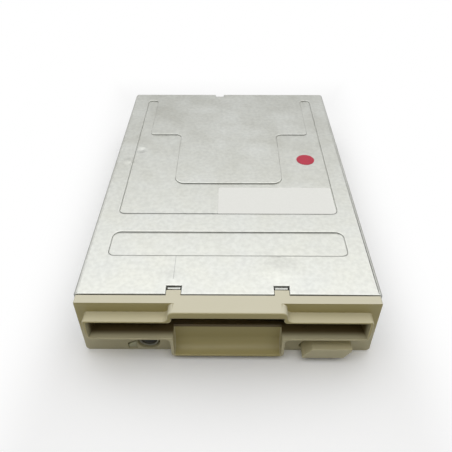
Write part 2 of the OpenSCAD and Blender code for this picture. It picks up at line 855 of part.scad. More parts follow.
module top_cover() {
    skirt_z = case_h - skirt_depth;
    inner = half_w - cover_t;
    bend_in = cover_bend_r - cover_t;
    color("#c9cac5")
        difference() {
            union() {
                intersection() {
                    front_profile(rounded([[-half_w, skirt_z, 0], [-inner, skirt_z, 0],
                        [-inner, cover_under, bend_in], [inner, cover_under, bend_in],
                        [inner, skirt_z, 0], [half_w, skirt_z, 0],
                        [half_w, case_h, cover_bend_r], [-half_w, case_h, cover_bend_r]]),
                        [cover_front, case_l]);
                    top_profile(round_rect([-half_w, half_w], [cover_front, case_l], 0.3, rear_corner_r),
                        [0, case_h + 1]);
                }
                slab([-half_w + rear_corner_r + 1, half_w - rear_corner_r - 1], [case_l - cover_t, case_l],
                    [case_h - rear_skirt_depth, case_h - eps]);
                top_profile(bar_outline(pan_lap), [pan_under, cover_under + eps]);
                top_profile(panel_outline(pan_lap), [pan_under, cover_under + eps]);
            }
            top_profile(bar_outline(0), [pan_top, case_h + 1]);
            top_profile(panel_outline(0), [pan_top, case_h + 1]);
            both_sides()
                slab([notch_x - notch_w / 2, notch_x + notch_w / 2], [0, cover_front + notch_l],
                    [case_h - 2, case_h + 1]);
            slab([rear_notch_x - rear_notch_w / 2, rear_notch_x + rear_notch_w / 2],
                [case_l - rear_notch_l, case_l + 1], [case_h - rear_skirt_depth - 1, case_h + 1]);
            both_sides()
                for (y = [bar_front - window_l, panel_rear - 2.5 * window_l])
                    slab([inner - 1, half_w + 1], [y, y + window_l],
                        [skirt_z + 2, skirt_z + 2 + window_h_side]);
        }
}

module paper_label() {
    color("#e6e6e0")
        top_profile(round_rect([panel_half - label_edge - label_w, panel_half - label_edge],
            [panel_front + label_edge, panel_front + label_edge + label_l], 0.8, 0.8),
            [pan_top, pan_top + sticker_t]);
}

module round_sticker() {
    color("#c43a55")
        post(dot_d / 2, dot_x, dot_y, [pan_top, pan_top + sticker_t]);
}

// Places of the motor board's screws, one at each corner
function motor_screw_at(i) =
    [(i % 2 == 0 ? -1 : 1) * motor_screw_xy[0], spindle_y + (i < 2 ? -1 : 1) * motor_screw_xy[1]];

module chassis() {
    color("#b9bbb8")
        difference() {
            union() {
                both_sides() {
                    slab([wall_in, wall_out], [chassis_front, chassis_rear], [0, cover_under - wall_step]);
                    slab([wall_in, wall_out - wall_step], [chassis_front, chassis_rear],
                        [floor_z, cover_under]);
                    slab([tension_x - tension_tab_half, wall_in + eps], [hook_y - hook_t, hook_y],
                        [slide_top + 0.4, slide_top + 0.4 + hook_h]);
                    for (y = post_ys)
                        slab(post_x, [y, y + post_l], [floor_top - eps, post_top]);
                }
                slab([-wall_in - eps, wall_in + eps], [floor_front, chassis_rear], [floor_z, floor_top]);
                slab([-wall_in - eps, wall_in + eps], [chassis_rear - rear_t, chassis_rear],
                    [floor_z, cover_under]);
            }
            post(motor_hole_r, 0, spindle_y, [floor_z - 1, floor_top + 1]);
            slab([lamp_x - lamp_cut, lamp_x + lamp_cut], [0, foot_y[1] + 1], [floor_z - 1, floor_top + 1]);
            slab([button_x - 3, wall_in], [0, button_back + tail_l + 1.6], [floor_z - 1, floor_top + 1]);
            for (hole = [[signal_x, signal_z], [power_x, power_z]])
                slab([hole[0][0] - cut_gap, hole[0][1] + cut_gap], [leg_front, case_l + 1],
                    [floor_z - 1, hole[1][1] + cut_gap]);
            both_sides() {
                for (y = pin_ys)
                    slab([wall_in - 1, wall_out + 1], [y - pin_r - pin_play, y + pin_r + pin_play],
                        [pin_low, case_h]);
                for (y = [mount_y, mount_y + mount_mid, mount_y + mount_pitch]) {
                    rod_across(mount_r, [wall_in - 1, wall_out + 1], y, mount_z);
                    slab([wall_in - relief_w, wall_in], [y - relief_w, y + relief_w],
                        [floor_z - 1, floor_top + 1]);
                }
                for (y = post_ys) {
                    slab([rod_x - rod_r - 0.02, rod_x + rod_r + 0.02], [y - 1, y + post_l + 1],
                        [rod_z - rod_r, post_top + 1]);
                    post(clamp_shank_r + screw_gap, clamp_screw_x, y + post_l / 2,
                        [floor_top + 1, post_top + 1]);
                }
            }
            for (i = [0:3])
                post(screw_shank_r + screw_gap, motor_screw_at(i)[0], motor_screw_at(i)[1],
                    [floor_z - 1, floor_top + 1]);
            for (p = board_screws_at)
                post(screw_shank_r + screw_gap, p[0], p[1], [floor_z - 1, floor_top + 1]);
            for (y = bracket_screw_ys)
                post(screw_shank_r + screw_gap, bracket_screw_x, y, [floor_z - 1, floor_top + 1]);
        }
}

module disk_holder() {
    color("#b4b6b4")
        difference() {
            union() {
                slab([-holder_out, holder_out], [holder_front, holder_rear], [roof_under, roof_top]);
                both_sides() {
                    slab([holder_in, holder_out], [holder_front, holder_rear], [rail_under, roof_top]);
                    slab([holder_out - rail_w, holder_out], [holder_front, holder_rear],
                        [rail_under, rail_top]);
                }
            }
            slab([-arm_hole_half, arm_hole_half], [arm_hole_front, holder_rear + 1],
                [roof_under - 1, roof_top + 1]);
            slab([lever_hole_side, 0], [lever_hole_front, holder_rear + 1], [roof_under - 1, roof_top + 1]);
            post(window_r, 0, slide_front + 22, [roof_under - 1, roof_top + 1]);
            for (p = [[-switch_x, switch_y], [-switch_x, switch_y + switch_pitch], [switch_x, switch_y]])
                post(plunger_r + 0.8, p[0], p[1], [rail_under - 1, rail_top + 1]);
        }
}

module holder_pins() {
    color("#9a9c9c")
        both_sides()
            for (y = pin_ys)
                rod_across(pin_r, [holder_out, pin_end], y, pin_z);
}

module eject_slide() {
    color("#a9aba8")
        difference() {
            union() {
                slab([-flange_out, flange_out], [slide_front, slide_front + slide_l],
                    [slide_under, slide_top]);
                both_sides() {
                    slab([flange_in, flange_out], [slide_front, flange_rear], [flange_low, slide_top]);
                    slab([tension_x - tension_tab_half, tension_x + tension_tab_half],
                        [slide_tab_y, slide_tab_y + slide_t], [slide_top - eps, slide_top + tension_tab_h]);
                }
                slab([flange_in, flange_out], [button_back, button_back + tail_l], [tail_z[0], slide_top]);
                slab([button_x + tail_in, flange_out], [button_back, button_back + slide_t], tail_z);
            }
            both_sides()
                for (y = pin_ys)
                    side_profile(slot_outline([y - slide_over, pin_z + slide_over * drop_rate],
                        [y + slide_travel, pin_z - disk_drop], pin_r + pin_play),
                        [flange_in - 1, flange_out + 1]);
            post(window_r, 0, slide_front + 22, [slide_under - 1, slide_top + 1]);
        }
}

module slide_springs() {
    color("#7f8280")
        both_sides()
            rod_along(tension_r, tension_x, [hook_y, slide_tab_y], tension_z);
}

module shutter_lever() {
    reach = [cos(lever_angle), -sin(lever_angle)];
    tip = lever_l * reach;
    tail = -lever_tail * reach;
    color("#a0a29f")
        translate([lever_x, lever_y, 0])
            difference() {
                union() {
                    top_profile(slot_outline(tail, tip, lever_w / 2), lever_z);
                    post(finger_r, tip[0], tip[1], [finger_low, lever_z[0] + eps]);
                }
                post(rivet_r + run_gap, 0, 0, [lever_z[0] - 1, lever_z[1] + 1]);
            }
}

module lever_rivet() {
    color("#8b8d8c") {
        post(rivet_r, lever_x, lever_y, [roof_top, rivet_head_z[1]]);
        post(rivet_head_r, lever_x, lever_y, rivet_head_z);
    }
}

module lever_spring() {
    color("#7f8280")
        difference() {
            post(rivet_r + 0.9, lever_x, lever_y, spring_z);
            post(rivet_r + 0.2, lever_x, lever_y, [spring_z[0] - 1, spring_z[1] + 1]);
        }
}

module motor_board() {
    color("#3f6b46")
        difference() {
            union() {
                slab([-motor_board_half, motor_board_half], motor_board_y, motor_board_z);
                slab([lamp_x - foot_half - 1, lamp_x + foot_half + 1],
                    [foot_y[0] + 1, motor_board_y[0] + eps], motor_board_z);
            }
            post(bearing_r + screw_gap, 0, spindle_y, [motor_board_z[0] - 1, motor_board_z[1] + 1]);
            for (i = [0:3])
                post(screw_shank_r + screw_gap, motor_screw_at(i)[0], motor_screw_at(i)[1],
                    [motor_board_z[0] - 1, motor_board_z[1] + 1]);
        }
}

module spindle_bearing() {
    color("#b8964e")
        difference() {
            union() {
                post(bearing_r, 0, spindle_y, [motor_board_z[0] - 0.8, stator_z[1]]);
                post(bearing_r + bearing_rim, 0, spindle_y, bearing_flange_z);
            }
            post(shaft_r + run_gap, 0, spindle_y, [0, rotor_top]);
        }
}

module stator_core() {
    color("#6f7476")
        translate([0, spindle_y, 0])
            difference() {
                union() {
                    post(bearing_r + 3.5, 0, 0, stator_z);
                    for (i = [0:pole_count - 1])
                        rotate(i * 360 / pole_count) {
                            slab([bearing_r + 2, stator_r - 1], [-pole_half, pole_half], stator_z);
                            intersection() {
                                post(stator_r, 0, 0, stator_z);
                                slab([stator_r - 2, stator_r + 1], [-shoe_half, shoe_half], stator_z);
                            }
                        }
                }
                post(bearing_r + 0.02, 0, 0, [stator_z[0] - 1, stator_z[1] + 1]);
            }
}

module stator_coils() {
    color("#9c5a2c")
        translate([0, spindle_y, 0])
            for (i = [0:pole_count - 1])
                rotate(i * 360 / pole_count)
                    difference() {
                        slab(coil_x, [-coil_half, coil_half],
                            [stator_z[0] - 0.6, stator_z[1] + 0.4]);
                        slab([0, stator_r], [-pole_half - screw_gap, pole_half + screw_gap],
                            [stator_z[0] - screw_gap, stator_z[1] + screw_gap]);
                    }
}

module spindle_rotor() {
    color("#9da0a2")
        translate([0, spindle_y, 0])
            difference() {
                post(rotor_r, 0, 0, [rotor_low, rotor_top]);
                post(rotor_r - rotor_t, 0, 0, [rotor_low - 1, rotor_top - rotor_t]);
                post(shaft_r, 0, 0, [0, rotor_top + 1]);
            }
}

module rotor_magnet() {
    color("#3c3b3a")
        translate([0, spindle_y, 0])
            difference() {
                post(magnet_out, 0, 0, [rotor_low + 0.2, rotor_top - rotor_t]);
                post(magnet_in, 0, 0, [rotor_low - 1, rotor_top]);
            }
}

module hub_chuck() {
    color("#8f9294")
        translate([0, spindle_y, 0])
            difference() {
                post(chuck_r, 0, 0, [rotor_top, chuck_top]);
                post(shaft_r, 0, 0, [rotor_top - 1, chuck_top + 1]);
                post(drive_pin_r + seat_gap, drive_pin_x, 0, [rotor_top - 1, chuck_top + 1]);
                post(chuck_seat_r, 0, 0, [chuck_top - chuck_seat_h, chuck_top + 1]);
            }
}

module chuck_magnet() {
    color("#4a4846")
        translate([0, spindle_y, 0])
            difference() {
                post(chuck_seat_r - screw_gap, 0, 0, [chuck_top - chuck_seat_h, chuck_top - 0.2]);
                post(shaft_r + screw_gap, 0, 0, [chuck_top - chuck_seat_h - 1, chuck_top + 1]);
            }
}

module spindle_shaft() {
    nose = 0.6;
    color("#c2c4c4")
        translate([0, spindle_y, 0]) {
            post(shaft_r, 0, 0, [motor_board_z[0] - 0.4, shaft_top - nose]);
            translate([0, 0, shaft_top - nose])
                cylinder(r1 = shaft_r, r2 = shaft_r - nose, h = nose);
        }
}

module drive_pin() {
    color("#b0b2b2")
        post(drive_pin_r, drive_pin_x, spindle_y, [rotor_top + pin_spring_h, chuck_top + pin_spring_h]);
}

module drive_pin_spring() {
    color("#7f8280")
        difference() {
            post(drive_pin_r, drive_pin_x, spindle_y, [rotor_top, rotor_top + pin_spring_h]);
            post(drive_pin_r - 0.4, drive_pin_x, spindle_y, [rotor_top - 1, rotor_top + 2]);
        }
}

module stepper_motor() {
    color("#a3a5a4")
        difference() {
            union() {
                rod_along(stepper_r, screw_x, [bracket_rear, stepper_rear], screw_z);
                rod_along(cap_r, screw_x, [stepper_rear - eps, stepper_rear + stepper_cap], screw_z);
                rod_along(boss_r, screw_x, [bracket_rear - bracket_t, bracket_rear + eps], screw_z);
                slab([screw_x - plug_half, screw_x + plug_half], plug_y,
                    [screw_z + stepper_r / 2, screw_z + stepper_r + 0.8]);
            }
            rod_along(screw_r + run_gap, screw_x, [bracket_rear - 2, bore_end], screw_z);
        }
}

module stepper_bracket() {
    color("#b2b4b2")
        difference() {
            union() {
                slab(bracket_x, [bracket_rear - bracket_t, bracket_rear], [floor_top, screw_z + stepper_r]);
                slab(strip_x, [screw_front, bracket_rear], [floor_top, floor_top + bracket_t]);
                slab([screw_x - ear_half, screw_x + ear_half], [screw_front, screw_front + bracket_t],
                    [floor_top, ear_top]);
            }
            rod_along(boss_r + screw_gap, screw_x, [bracket_rear - 2, bracket_rear + 1], screw_z);
            rod_along(pivot_r + run_gap, screw_x, [screw_front - 1, screw_front + 2], screw_z);
            for (y = bracket_screw_ys)
                post(screw_shank_r + screw_gap, bracket_screw_x, y,
                    [floor_top - 1, floor_top + bracket_t + 1]);
        }
}

module lead_screw() {
    color("#c6c8c8") {
        rod_along(screw_r, screw_x, [screw_front + bracket_t + 0.2, bore_end - 0.4], screw_z);
        rod_along(pivot_r, screw_x, [screw_front - 0.4, screw_front + bracket_t + 0.3], screw_z);
    }
}

module guide_rods() {
    color("#d0d2d2")
        both_sides()
            rod_along(rod_r, rod_x, [post_ys[0] - 0.5, post_ys[1] + post_l + 0.3], rod_z);
}

module rod_clamps() {
    color("#a9aba8")
        both_sides()
            for (y = post_ys)
                difference() {
                    slab([post_x[0] + 0.2, post_x[1] - 0.2], [y + 0.1, y + post_l - 0.1], clamp_z);
                    post(clamp_shank_r + screw_gap, clamp_screw_x, y + post_l / 2,
                        [clamp_z[0] - 1, clamp_z[1] + 1]);
                }
}

module clamp_screws() {
    color("#8b8d8c")
        both_sides()
            for (y = post_ys) {
                post(clamp_shank_r, clamp_screw_x, y + post_l / 2, [floor_top + 1.4, clamp_z[1] + eps]);
                post(clamp_head_r, clamp_screw_x, y + post_l / 2, [clamp_z[1], clamp_z[1] + clamp_head_h]);
            }
}

module head_carriage() {
    body_y = [head_y + 8, carriage_rear];
    color("#3a3a3c")
        difference() {
            union() {
                slab([-deck_half, deck_half], deck_y, [deck_under, deck_top]);
                slab([-carriage_half, carriage_half], body_y, [carriage_under, deck_top]);
                both_sides() {
                    slab([carriage_half - eps, bush_out], bush_y, [carriage_under, bush_top]);
                    slab(ear_x, [hinge_y - ear_r, carriage_rear], [deck_top - eps, hinge_z]);
                    rod_across(ear_r, ear_x, hinge_y, hinge_z);
                }
                slab([rod_x, screw_x - screw_r - seat_gap], follower_y, [rod_z + rod_r, screw_z + 0.8]);
                slab([flag_x, -bush_out + eps], flag_y, flag_z);
            }
            rod_along(rod_r + run_gap, rod_x, [bush_y[0] - 1, bush_y[1] + 1], rod_z);
            slab([-bush_out - 1, -rod_x + rod_r + run_gap], [bush_y[0] - 1, bush_y[1] + 1],
                [rod_z - rod_r - run_gap, rod_z + rod_r + run_gap]);
            rod_across(hinge_pin_r, [-ear_x[1] - 1, ear_x[1] + 1], hinge_y, hinge_z);
        }
}

module hinge_pin() {
    color("#c2c4c4")
        rod_across(hinge_pin_r, [-ear_x[1], ear_x[1]], hinge_y, hinge_z);
}

module load_spring() {
    color("#7f8280")
        difference() {
            rod_across(hinge_pin_r + 0.7, [2.4, 5.6], hinge_y, hinge_z);
            rod_across(hinge_pin_r + 0.1, [2, 6], hinge_y, hinge_z);
        }
}

// The upper arm's own frame, hinge at its origin, tipped up as it rests
module arm_frame() {
    translate([0, hinge_y, hinge_z])
        rotate([-arm_lift, 0, 0])
            children();
}

module upper_arm() {
    color("#c9c4b2")
        arm_frame()
            difference() {
                union() {
                    rod_across(knuckle_r, knuckle_x, 0, 0);
                    slab(knuckle_x, [-4, 0], arm_z);
                    slab([-arm_half, arm_half], [-hinge_reach - head_l / 2 - 1, -3.2], arm_z);
                    slab([arm_half - 0.4, arm_hole_half + 3], tab_y, [tab_low, arm_z[1]]);
                }
                rod_across(hinge_pin_r + run_gap, [-arm_half, arm_half], 0, 0);
            }
}

module lower_head() {
    color("#e4e2da")
        slab([-head_half, head_half], [head_y - head_l / 2, head_y + head_l / 2], [deck_top, medium_z]);
}

module upper_head() {
    color("#e4e2da")
        arm_frame()
            slab([-head_half, head_half], [-hinge_reach - head_l / 2, -hinge_reach + head_l / 2],
                [medium_z + 0.1 - hinge_z, arm_z[0]]);
}

module track_sensor() {
    color("#2c2c2e")
        difference() {
            slab(sensor_x, sensor_y, [floor_top, flag_z[1] + 2.4]);
            slab([flag_x - 0.8, sensor_x[1] + 1], [sensor_y[0] - 1, sensor_y[1] + 1],
                [flag_z[0] - 0.6, flag_z[1] + 0.6]);
        }
}

module index_sensor() {
    color("#2c2c2e")
        slab([-2, 2], [spindle_y - rotor_r - 3.9, spindle_y - rotor_r - 2.3], [floor_top, floor_top + 3]);
}

module switch_body(x, y) {
    color("#2f3133")
        difference() {
            slab([x - switch_half, x + switch_half], [y[0] - switch_half, y[1] + switch_half],
                [floor_top, switch_top]);
            for (at = y)
                post(plunger_r + run_gap, x, at, [switch_well, switch_top + 1]);
        }
}

module plunger(x, y) {
    color("#d8d4c4") {
        post(plunger_r, x, y, [switch_well + 0.2 + plunger_travel, plunger_top - plunger_nose]);
        translate([x, y, plunger_top - plunger_nose])
            cylinder(r1 = plunger_r, r2 = plunger_r - plunger_nose, h = plunger_nose);
    }
}

module switch_pair() switch_body(-switch_x, [switch_y, switch_y + switch_pitch]);
module single_switch() switch_body(switch_x, [switch_y, switch_y]);
module protect_plunger() plunger(-switch_x, switch_y);
module disk_in_plunger() plunger(-switch_x, switch_y + switch_pitch);
module density_plunger() plunger(switch_x, switch_y);

module main_board() {
    color("#3f6b46")
        difference() {
            slab([-board_half, board_half], [board_front, board_rear], board_z);
            for (p = board_screws_at)
                post(screw_shank_r + screw_gap, p[0], p[1], [board_z[0] - 1, board_z[1] + 1]);
            for (i = [0:signal_count - 1], leg = [0, 1])
                slab(contact_x(signal_x, signal_count, i, leg_gap), leg_y(leg, leg_gap),
                    [board_z[0] - 1, board_z[1] + 1]);
            for (i = [0:power_count - 1])
                slab(contact_x(power_x, power_count, i, leg_gap), leg_y(0, leg_gap),
                    [board_z[0] - 1, board_z[1] + 1]);
        }
}

// Sides of contact i in a housing's row
function contact_x(housing_x, count, i, grow) =
    let (x = (housing_x[0] + housing_x[1]) / 2 + (i - (count - 1) / 2) * contact_pitch)
    [x - contact_w / 2 - grow, x + contact_w / 2 + grow];

// Front and rear of a contact's leg into the board
function leg_y(leg, grow) =
    let (y = housing_y[0] - leg_in - leg * contact_pitch)
    [y - contact_w / 2 - grow, y + contact_w / 2 + grow];

// A right-angled contact from the board into a housing
module contact(x, leg, row_z) {
    slab(x, [leg_y(leg, 0)[0], contact_end], [row_z - contact_w / 2, row_z + contact_w / 2]);
    slab(x, leg_y(leg, 0), [leg_low, row_z + contact_w / 2]);
}

// A housing open to the rear, with a hole for each contact through its front wall
module housing(x, z, count, rows) {
    hole = contact_w / 2 + contact_gap;
    difference() {
        slab(x, housing_y, z);
        slab([x[0] + housing_t, x[1] - housing_t], [housing_back, housing_y[1] + 1],
            [z[0] + housing_t, z[1] - housing_t]);
        for (i = [0:count - 1], row = rows)
            slab(contact_x(x, count, i, contact_gap), [housing_y[0] - 1, housing_back + 1],
                [row - hole, row + hole]);
        children();
    }
}

module signal_connector() {
    key_x = (signal_x[0] + signal_x[1]) / 2;
    color("#26282a")
        housing(signal_x, signal_z, signal_count, signal_rows)
            slab([key_x - key_half, key_x + key_half], [housing_back + 1, housing_y[1] + 1],
                [signal_z[1] - housing_t - 1, signal_z[1] + 1]);
}

module signal_pins() {
    color("#c8a85a")
        for (i = [0:signal_count - 1], leg = [0, 1])
            contact(contact_x(signal_x, signal_count, i, 0), leg, signal_rows[leg]);
}

module power_connector() {
    color("#e2ded0")
        housing(power_x, power_z, power_count, [power_row])
            slab([power_x[0] + 2 * housing_t, power_x[1] - 2 * housing_t],
                [housing_back + 1, housing_y[1] + 1], [power_z[1] - housing_t - 1, power_z[1] + 1]);
}

module power_pins() {
    color("#b9bbbb")
        for (i = [0:power_count - 1])
            contact(contact_x(power_x, power_count, i, 0), 0, power_row);
}

// A chip under a board, its middle at a place
module chip(at, w, l, z) {
    color("#252627")
        slab([at[0] - w / 2, at[0] + w / 2], [at[1] - l / 2, at[1] + l / 2], [z - chip_t, z]);
}

module controller_chip() chip(controller_at, controller_w, controller_w, board_z[0]);
module driver_chip() chip(driver_at, driver_w, driver_l, motor_board_z[0]);

module capacitors() {
    color("#2e3640")
        for (at = capacitors_at)
            post(capacitor_r, at[0], at[1], [floor_top, floor_top + capacitor_h]);
}

module fixed_flex() {
    color("#b5803a")
        slab(flex_x, [carriage_rear + flex_set, carriage_rear + flex_set + flex_l],
            [floor_top, floor_top + flex_t]);
}

module moving_flex() {
    color("#b5803a")
        slab(flex_x, [carriage_rear, carriage_rear + flex_l],
            [carriage_under + 0.4, carriage_under + 0.4 + flex_t]);
}

module motor_screws() {
    color("#8b8d8c")
        for (i = [0:3])
            screw_up(motor_screw_at(i)[0], motor_screw_at(i)[1], motor_board_z[0], motor_board_t + floor_t);
}

module board_screws() {
    color("#8b8d8c")
        for (p = board_screws_at)
            screw_up(p[0], p[1], board_z[0], board_t + floor_t);
}

module bracket_screws() {
    seat = floor_top + bracket_t;
    color("#8b8d8c")
        for (y = bracket_screw_ys) {
            post(screw_head_r, bracket_screw_x, y, [seat, seat + screw_head_h]);
            post(screw_shank_r, bracket_screw_x, y, [floor_z + 0.2, seat + eps]);
        }
}

placed() front_bezel();
placed() eject_button();
placed() lamp_lens();
placed() lamp_collar();
placed() lamp_window();
placed() top_cover();
placed() paper_label();
placed() round_sticker();
placed() chassis();
placed() disk_holder();
placed() holder_pins();
placed() eject_slide();
placed() slide_springs();
placed() shutter_lever();
placed() lever_rivet();
placed() lever_spring();
placed() motor_board();
placed() spindle_bearing();
placed() stator_core();
placed() stator_coils();
placed() spindle_rotor();
placed() rotor_magnet();
placed() hub_chuck();
placed() chuck_magnet();
placed() spindle_shaft();
placed() drive_pin();
placed() drive_pin_spring();
placed() stepper_motor();
placed() stepper_bracket();
placed() lead_screw();
placed() guide_rods();
placed() rod_clamps();
placed() clamp_screws();
placed() head_carriage();
placed() hinge_pin();
placed() load_spring();
placed() upper_arm();
placed() lower_head();
placed() upper_head();
placed() track_sensor();
placed() index_sensor();
placed() switch_pair();
placed() single_switch();
placed() protect_plunger();
placed() disk_in_plunger();
placed() density_plunger();
placed() main_board();
placed() signal_connector();
placed() signal_pins();
placed() power_connector();
placed() power_pins();
placed() controller_chip();
placed() driver_chip();
placed() capacitors();
placed() fixed_flex();
placed() moving_flex();
placed() motor_screws();
placed() board_screws();
placed() bracket_screws();
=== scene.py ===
import json
import math
from itertools import combinations, product

import bmesh
import bpy
from mathutils import Matrix, Vector
from mathutils.geometry import intersect_point_line
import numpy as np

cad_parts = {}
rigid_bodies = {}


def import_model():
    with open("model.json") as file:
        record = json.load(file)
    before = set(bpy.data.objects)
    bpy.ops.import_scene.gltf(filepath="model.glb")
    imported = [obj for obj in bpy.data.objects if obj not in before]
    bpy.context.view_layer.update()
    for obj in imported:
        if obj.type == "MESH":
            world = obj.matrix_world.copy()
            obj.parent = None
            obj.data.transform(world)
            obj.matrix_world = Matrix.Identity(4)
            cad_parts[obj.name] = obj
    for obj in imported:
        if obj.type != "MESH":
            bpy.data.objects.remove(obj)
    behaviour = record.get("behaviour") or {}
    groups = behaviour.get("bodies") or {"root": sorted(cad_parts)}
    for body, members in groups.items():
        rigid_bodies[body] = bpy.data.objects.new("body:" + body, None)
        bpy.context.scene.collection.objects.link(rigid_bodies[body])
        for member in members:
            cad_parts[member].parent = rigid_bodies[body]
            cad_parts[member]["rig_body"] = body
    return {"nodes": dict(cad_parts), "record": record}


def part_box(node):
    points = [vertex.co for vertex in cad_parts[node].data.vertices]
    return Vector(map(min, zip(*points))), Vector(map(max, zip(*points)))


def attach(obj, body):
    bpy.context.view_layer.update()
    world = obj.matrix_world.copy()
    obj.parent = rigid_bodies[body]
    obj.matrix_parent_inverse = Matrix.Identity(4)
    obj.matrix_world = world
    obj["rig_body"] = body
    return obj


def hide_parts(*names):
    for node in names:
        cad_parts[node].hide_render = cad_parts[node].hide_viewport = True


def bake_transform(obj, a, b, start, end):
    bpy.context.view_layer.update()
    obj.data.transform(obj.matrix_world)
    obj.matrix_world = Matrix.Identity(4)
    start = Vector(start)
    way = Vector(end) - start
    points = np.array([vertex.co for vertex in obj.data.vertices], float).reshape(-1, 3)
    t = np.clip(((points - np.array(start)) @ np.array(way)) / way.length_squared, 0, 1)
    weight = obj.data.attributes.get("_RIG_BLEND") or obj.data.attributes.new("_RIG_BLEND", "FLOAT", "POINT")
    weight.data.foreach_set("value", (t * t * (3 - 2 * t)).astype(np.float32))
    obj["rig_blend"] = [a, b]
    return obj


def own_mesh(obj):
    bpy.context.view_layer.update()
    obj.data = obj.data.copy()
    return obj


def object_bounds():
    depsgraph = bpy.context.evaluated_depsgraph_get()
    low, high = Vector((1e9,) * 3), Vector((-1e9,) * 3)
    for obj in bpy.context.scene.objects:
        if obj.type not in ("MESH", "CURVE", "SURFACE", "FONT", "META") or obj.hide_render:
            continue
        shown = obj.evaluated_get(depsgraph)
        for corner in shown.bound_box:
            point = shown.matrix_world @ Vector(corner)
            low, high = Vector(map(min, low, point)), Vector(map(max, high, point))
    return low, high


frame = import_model()
cad_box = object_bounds()
scene = bpy.context.scene
scene.view_settings.view_transform = "Standard"

# Chassis: one aluminium die casting, an open tray with a side wall left and right and a wall at the
# rear. It is tumbled after casting, so its edges are broken and its faces have a fine matt skin.
MM = 0.001
CHASSIS_EDGE = 0.15 * MM
SKIN_GRAIN, SKIN_CLOUD = 0.5 * MM, 14 * MM
SHARP, FLAT = math.radians(35), math.radians(0.5)
WELD = 0.001 * MM
OPPOSED, ROOM_SHARE = -0.5, 0.45
ROUND_STEPS = 3


def linear(code):
    """An sRGB hex colour as linear red, green, blue and alpha."""
    parts = [int(code[i:i + 2], 16) / 255 for i in (1, 3, 5)]
    return [p / 12.92 if p <= 0.04045 else ((p + 0.055) / 1.055) ** 2.4 for p in parts] + [1]


def material(name, **sockets):
    """A new material with its constant sockets set: the material, its tree and its shader."""
    made = bpy.data.materials.new(name)
    made.use_nodes = True
    shader = made.node_tree.nodes["Principled BSDF"]
    for socket, value in sockets.items():
        shader.inputs[socket.replace("_", " ")].default_value = value
    return made, made.node_tree, shader


def add(tree, kind, inputs=None, **settings):
    """Adds a node with its settings; each input is a value, or the output that feeds it."""
    made = tree.nodes.new("ShaderNode" + kind)
    for name, value in settings.items():
        setattr(made, name, value)
    for socket, value in (inputs or {}).items():
        if isinstance(value, bpy.types.NodeSocket):
            tree.links.new(value, made.inputs[socket])
        else:
            made.inputs[socket].default_value = value
    return made


def slot_of(node):
    """The record's material slot of a CAD node."""
    parts = frame["record"]["subparts"]
    return next(part["material_slot"] for part in parts if part["node"] == node)


def fitted(name, mesh, node, finish, slot=None):
    """A mesh as a piece on a CAD node's body: in its place, or beside it if a slot is named."""
    mesh.materials.clear()
    mesh.materials.append(finish)
    for face in mesh.polygons:
        face.material_index = 0
    piece = bpy.data.objects.new(name, mesh)
    scene.collection.objects.link(piece)
    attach(piece, frame["nodes"][node]["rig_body"])
    if slot is None:
        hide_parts(node)
        slot = slot_of(node)
    return piece


def gap(first, second):
    """The distance between two edges where they lie side by side, or infinity."""
    apart = math.inf
    for ends, others in ((first, second), (second, first)):
        for end in ends:
            foot, where = intersect_point_line(end, *others)
            if 0 <= where <= 1:
                apart = min(apart, (foot - end).length)
    return apart


def softened(node, name, edge, finish, share=None):
    """A CAD node's shape with its sharp edges rounded by edge, or by the share of it that share()
    gives. Two edges that run back to back on one face each take less than half of their gap."""
    shape = bmesh.new()
    shape.from_mesh(frame["nodes"][node].data)
    bmesh.ops.remove_doubles(shape, verts=shape.verts, dist=WELD)
    bmesh.ops.dissolve_limit(shape, angle_limit=FLAT, verts=shape.verts, edges=shape.edges)
    weight = shape.edges.layers.float.new("bevel_weight_edge")
    for line in shape.edges:
        if line.is_manifold and line.calc_face_angle() > SHARP:
            line[weight] = share(line) if share else 1.0
    for face in shape.faces:
        sides = [(loop.edge, (loop.vert.co, loop.link_loop_next.vert.co)) for loop in face.loops
                 if loop.edge[weight] > 0]
        for (line, ends), (other, others) in combinations(sides, 2):
            way, other_way = ((last - first).normalized() for first, last in (ends, others))
            if way.dot(other_way) < OPPOSED:
                room = ROOM_SHARE * gap(ends, others) / edge
                line[weight], other[weight] = min(line[weight], room), min(other[weight], room)
    for line in shape.edges:
        line.smooth = line[weight] > 0 or not line.is_manifold or line.calc_face_angle() < SHARP
    bmesh.ops.triangulate(shape, faces=shape.faces)
    for face in shape.faces:
        face.smooth = True
    mesh = bpy.data.meshes.new(name)
    shape.to_mesh(mesh)
    shape.free()
    piece = fitted(name, mesh, node, finish)
    rounding = piece.modifiers.new("edges", "BEVEL")
    rounding.width = edge
    rounding.segments = ROUND_STEPS
    rounding.limit_method = "WEIGHT"
    rounding.use_clamp_overlap = False
    rounding.loop_slide = False
    level = piece.modifiers.new("level_faces", "WEIGHTED_NORMAL")
    level.weight = 100
    level.keep_sharp = True
    return piece


# Die-cast aluminium with a tumbled skin: grey, dull and slightly clouded, with a fine sandy grain.
cast_aluminium, tree, shader = material("cast_aluminium_tumbled", Metallic=1.0)
place = add(tree, "TexCoord").outputs["Object"]
cloud = add(tree, "TexNoise", {"Vector": place, "Scale": 1 / SKIN_CLOUD, "Detail": 4})
tone = add(tree, "MixRGB", {"Fac": cloud.outputs["Fac"], "Color1": linear("#A3A5A2"),
                            "Color2": linear("#BDBFBB")})
grain = add(tree, "TexNoise", {"Vector": place, "Scale": 1 / SKIN_GRAIN, "Detail": 2})
dull = add(tree, "MapRange", {"Value": grain.outputs["Fac"], "To Min": 0.42, "To Max": 0.58})
relief = add(tree, "Bump", {"Height": grain.outputs["Fac"], "Strength": 0.25,
                            "Distance": 0.05 * MM})
tree.links.new(tone.outputs["Color"], shader.inputs["Base Color"])
tree.links.new(dull.outputs["Result"], shader.inputs["Roughness"])
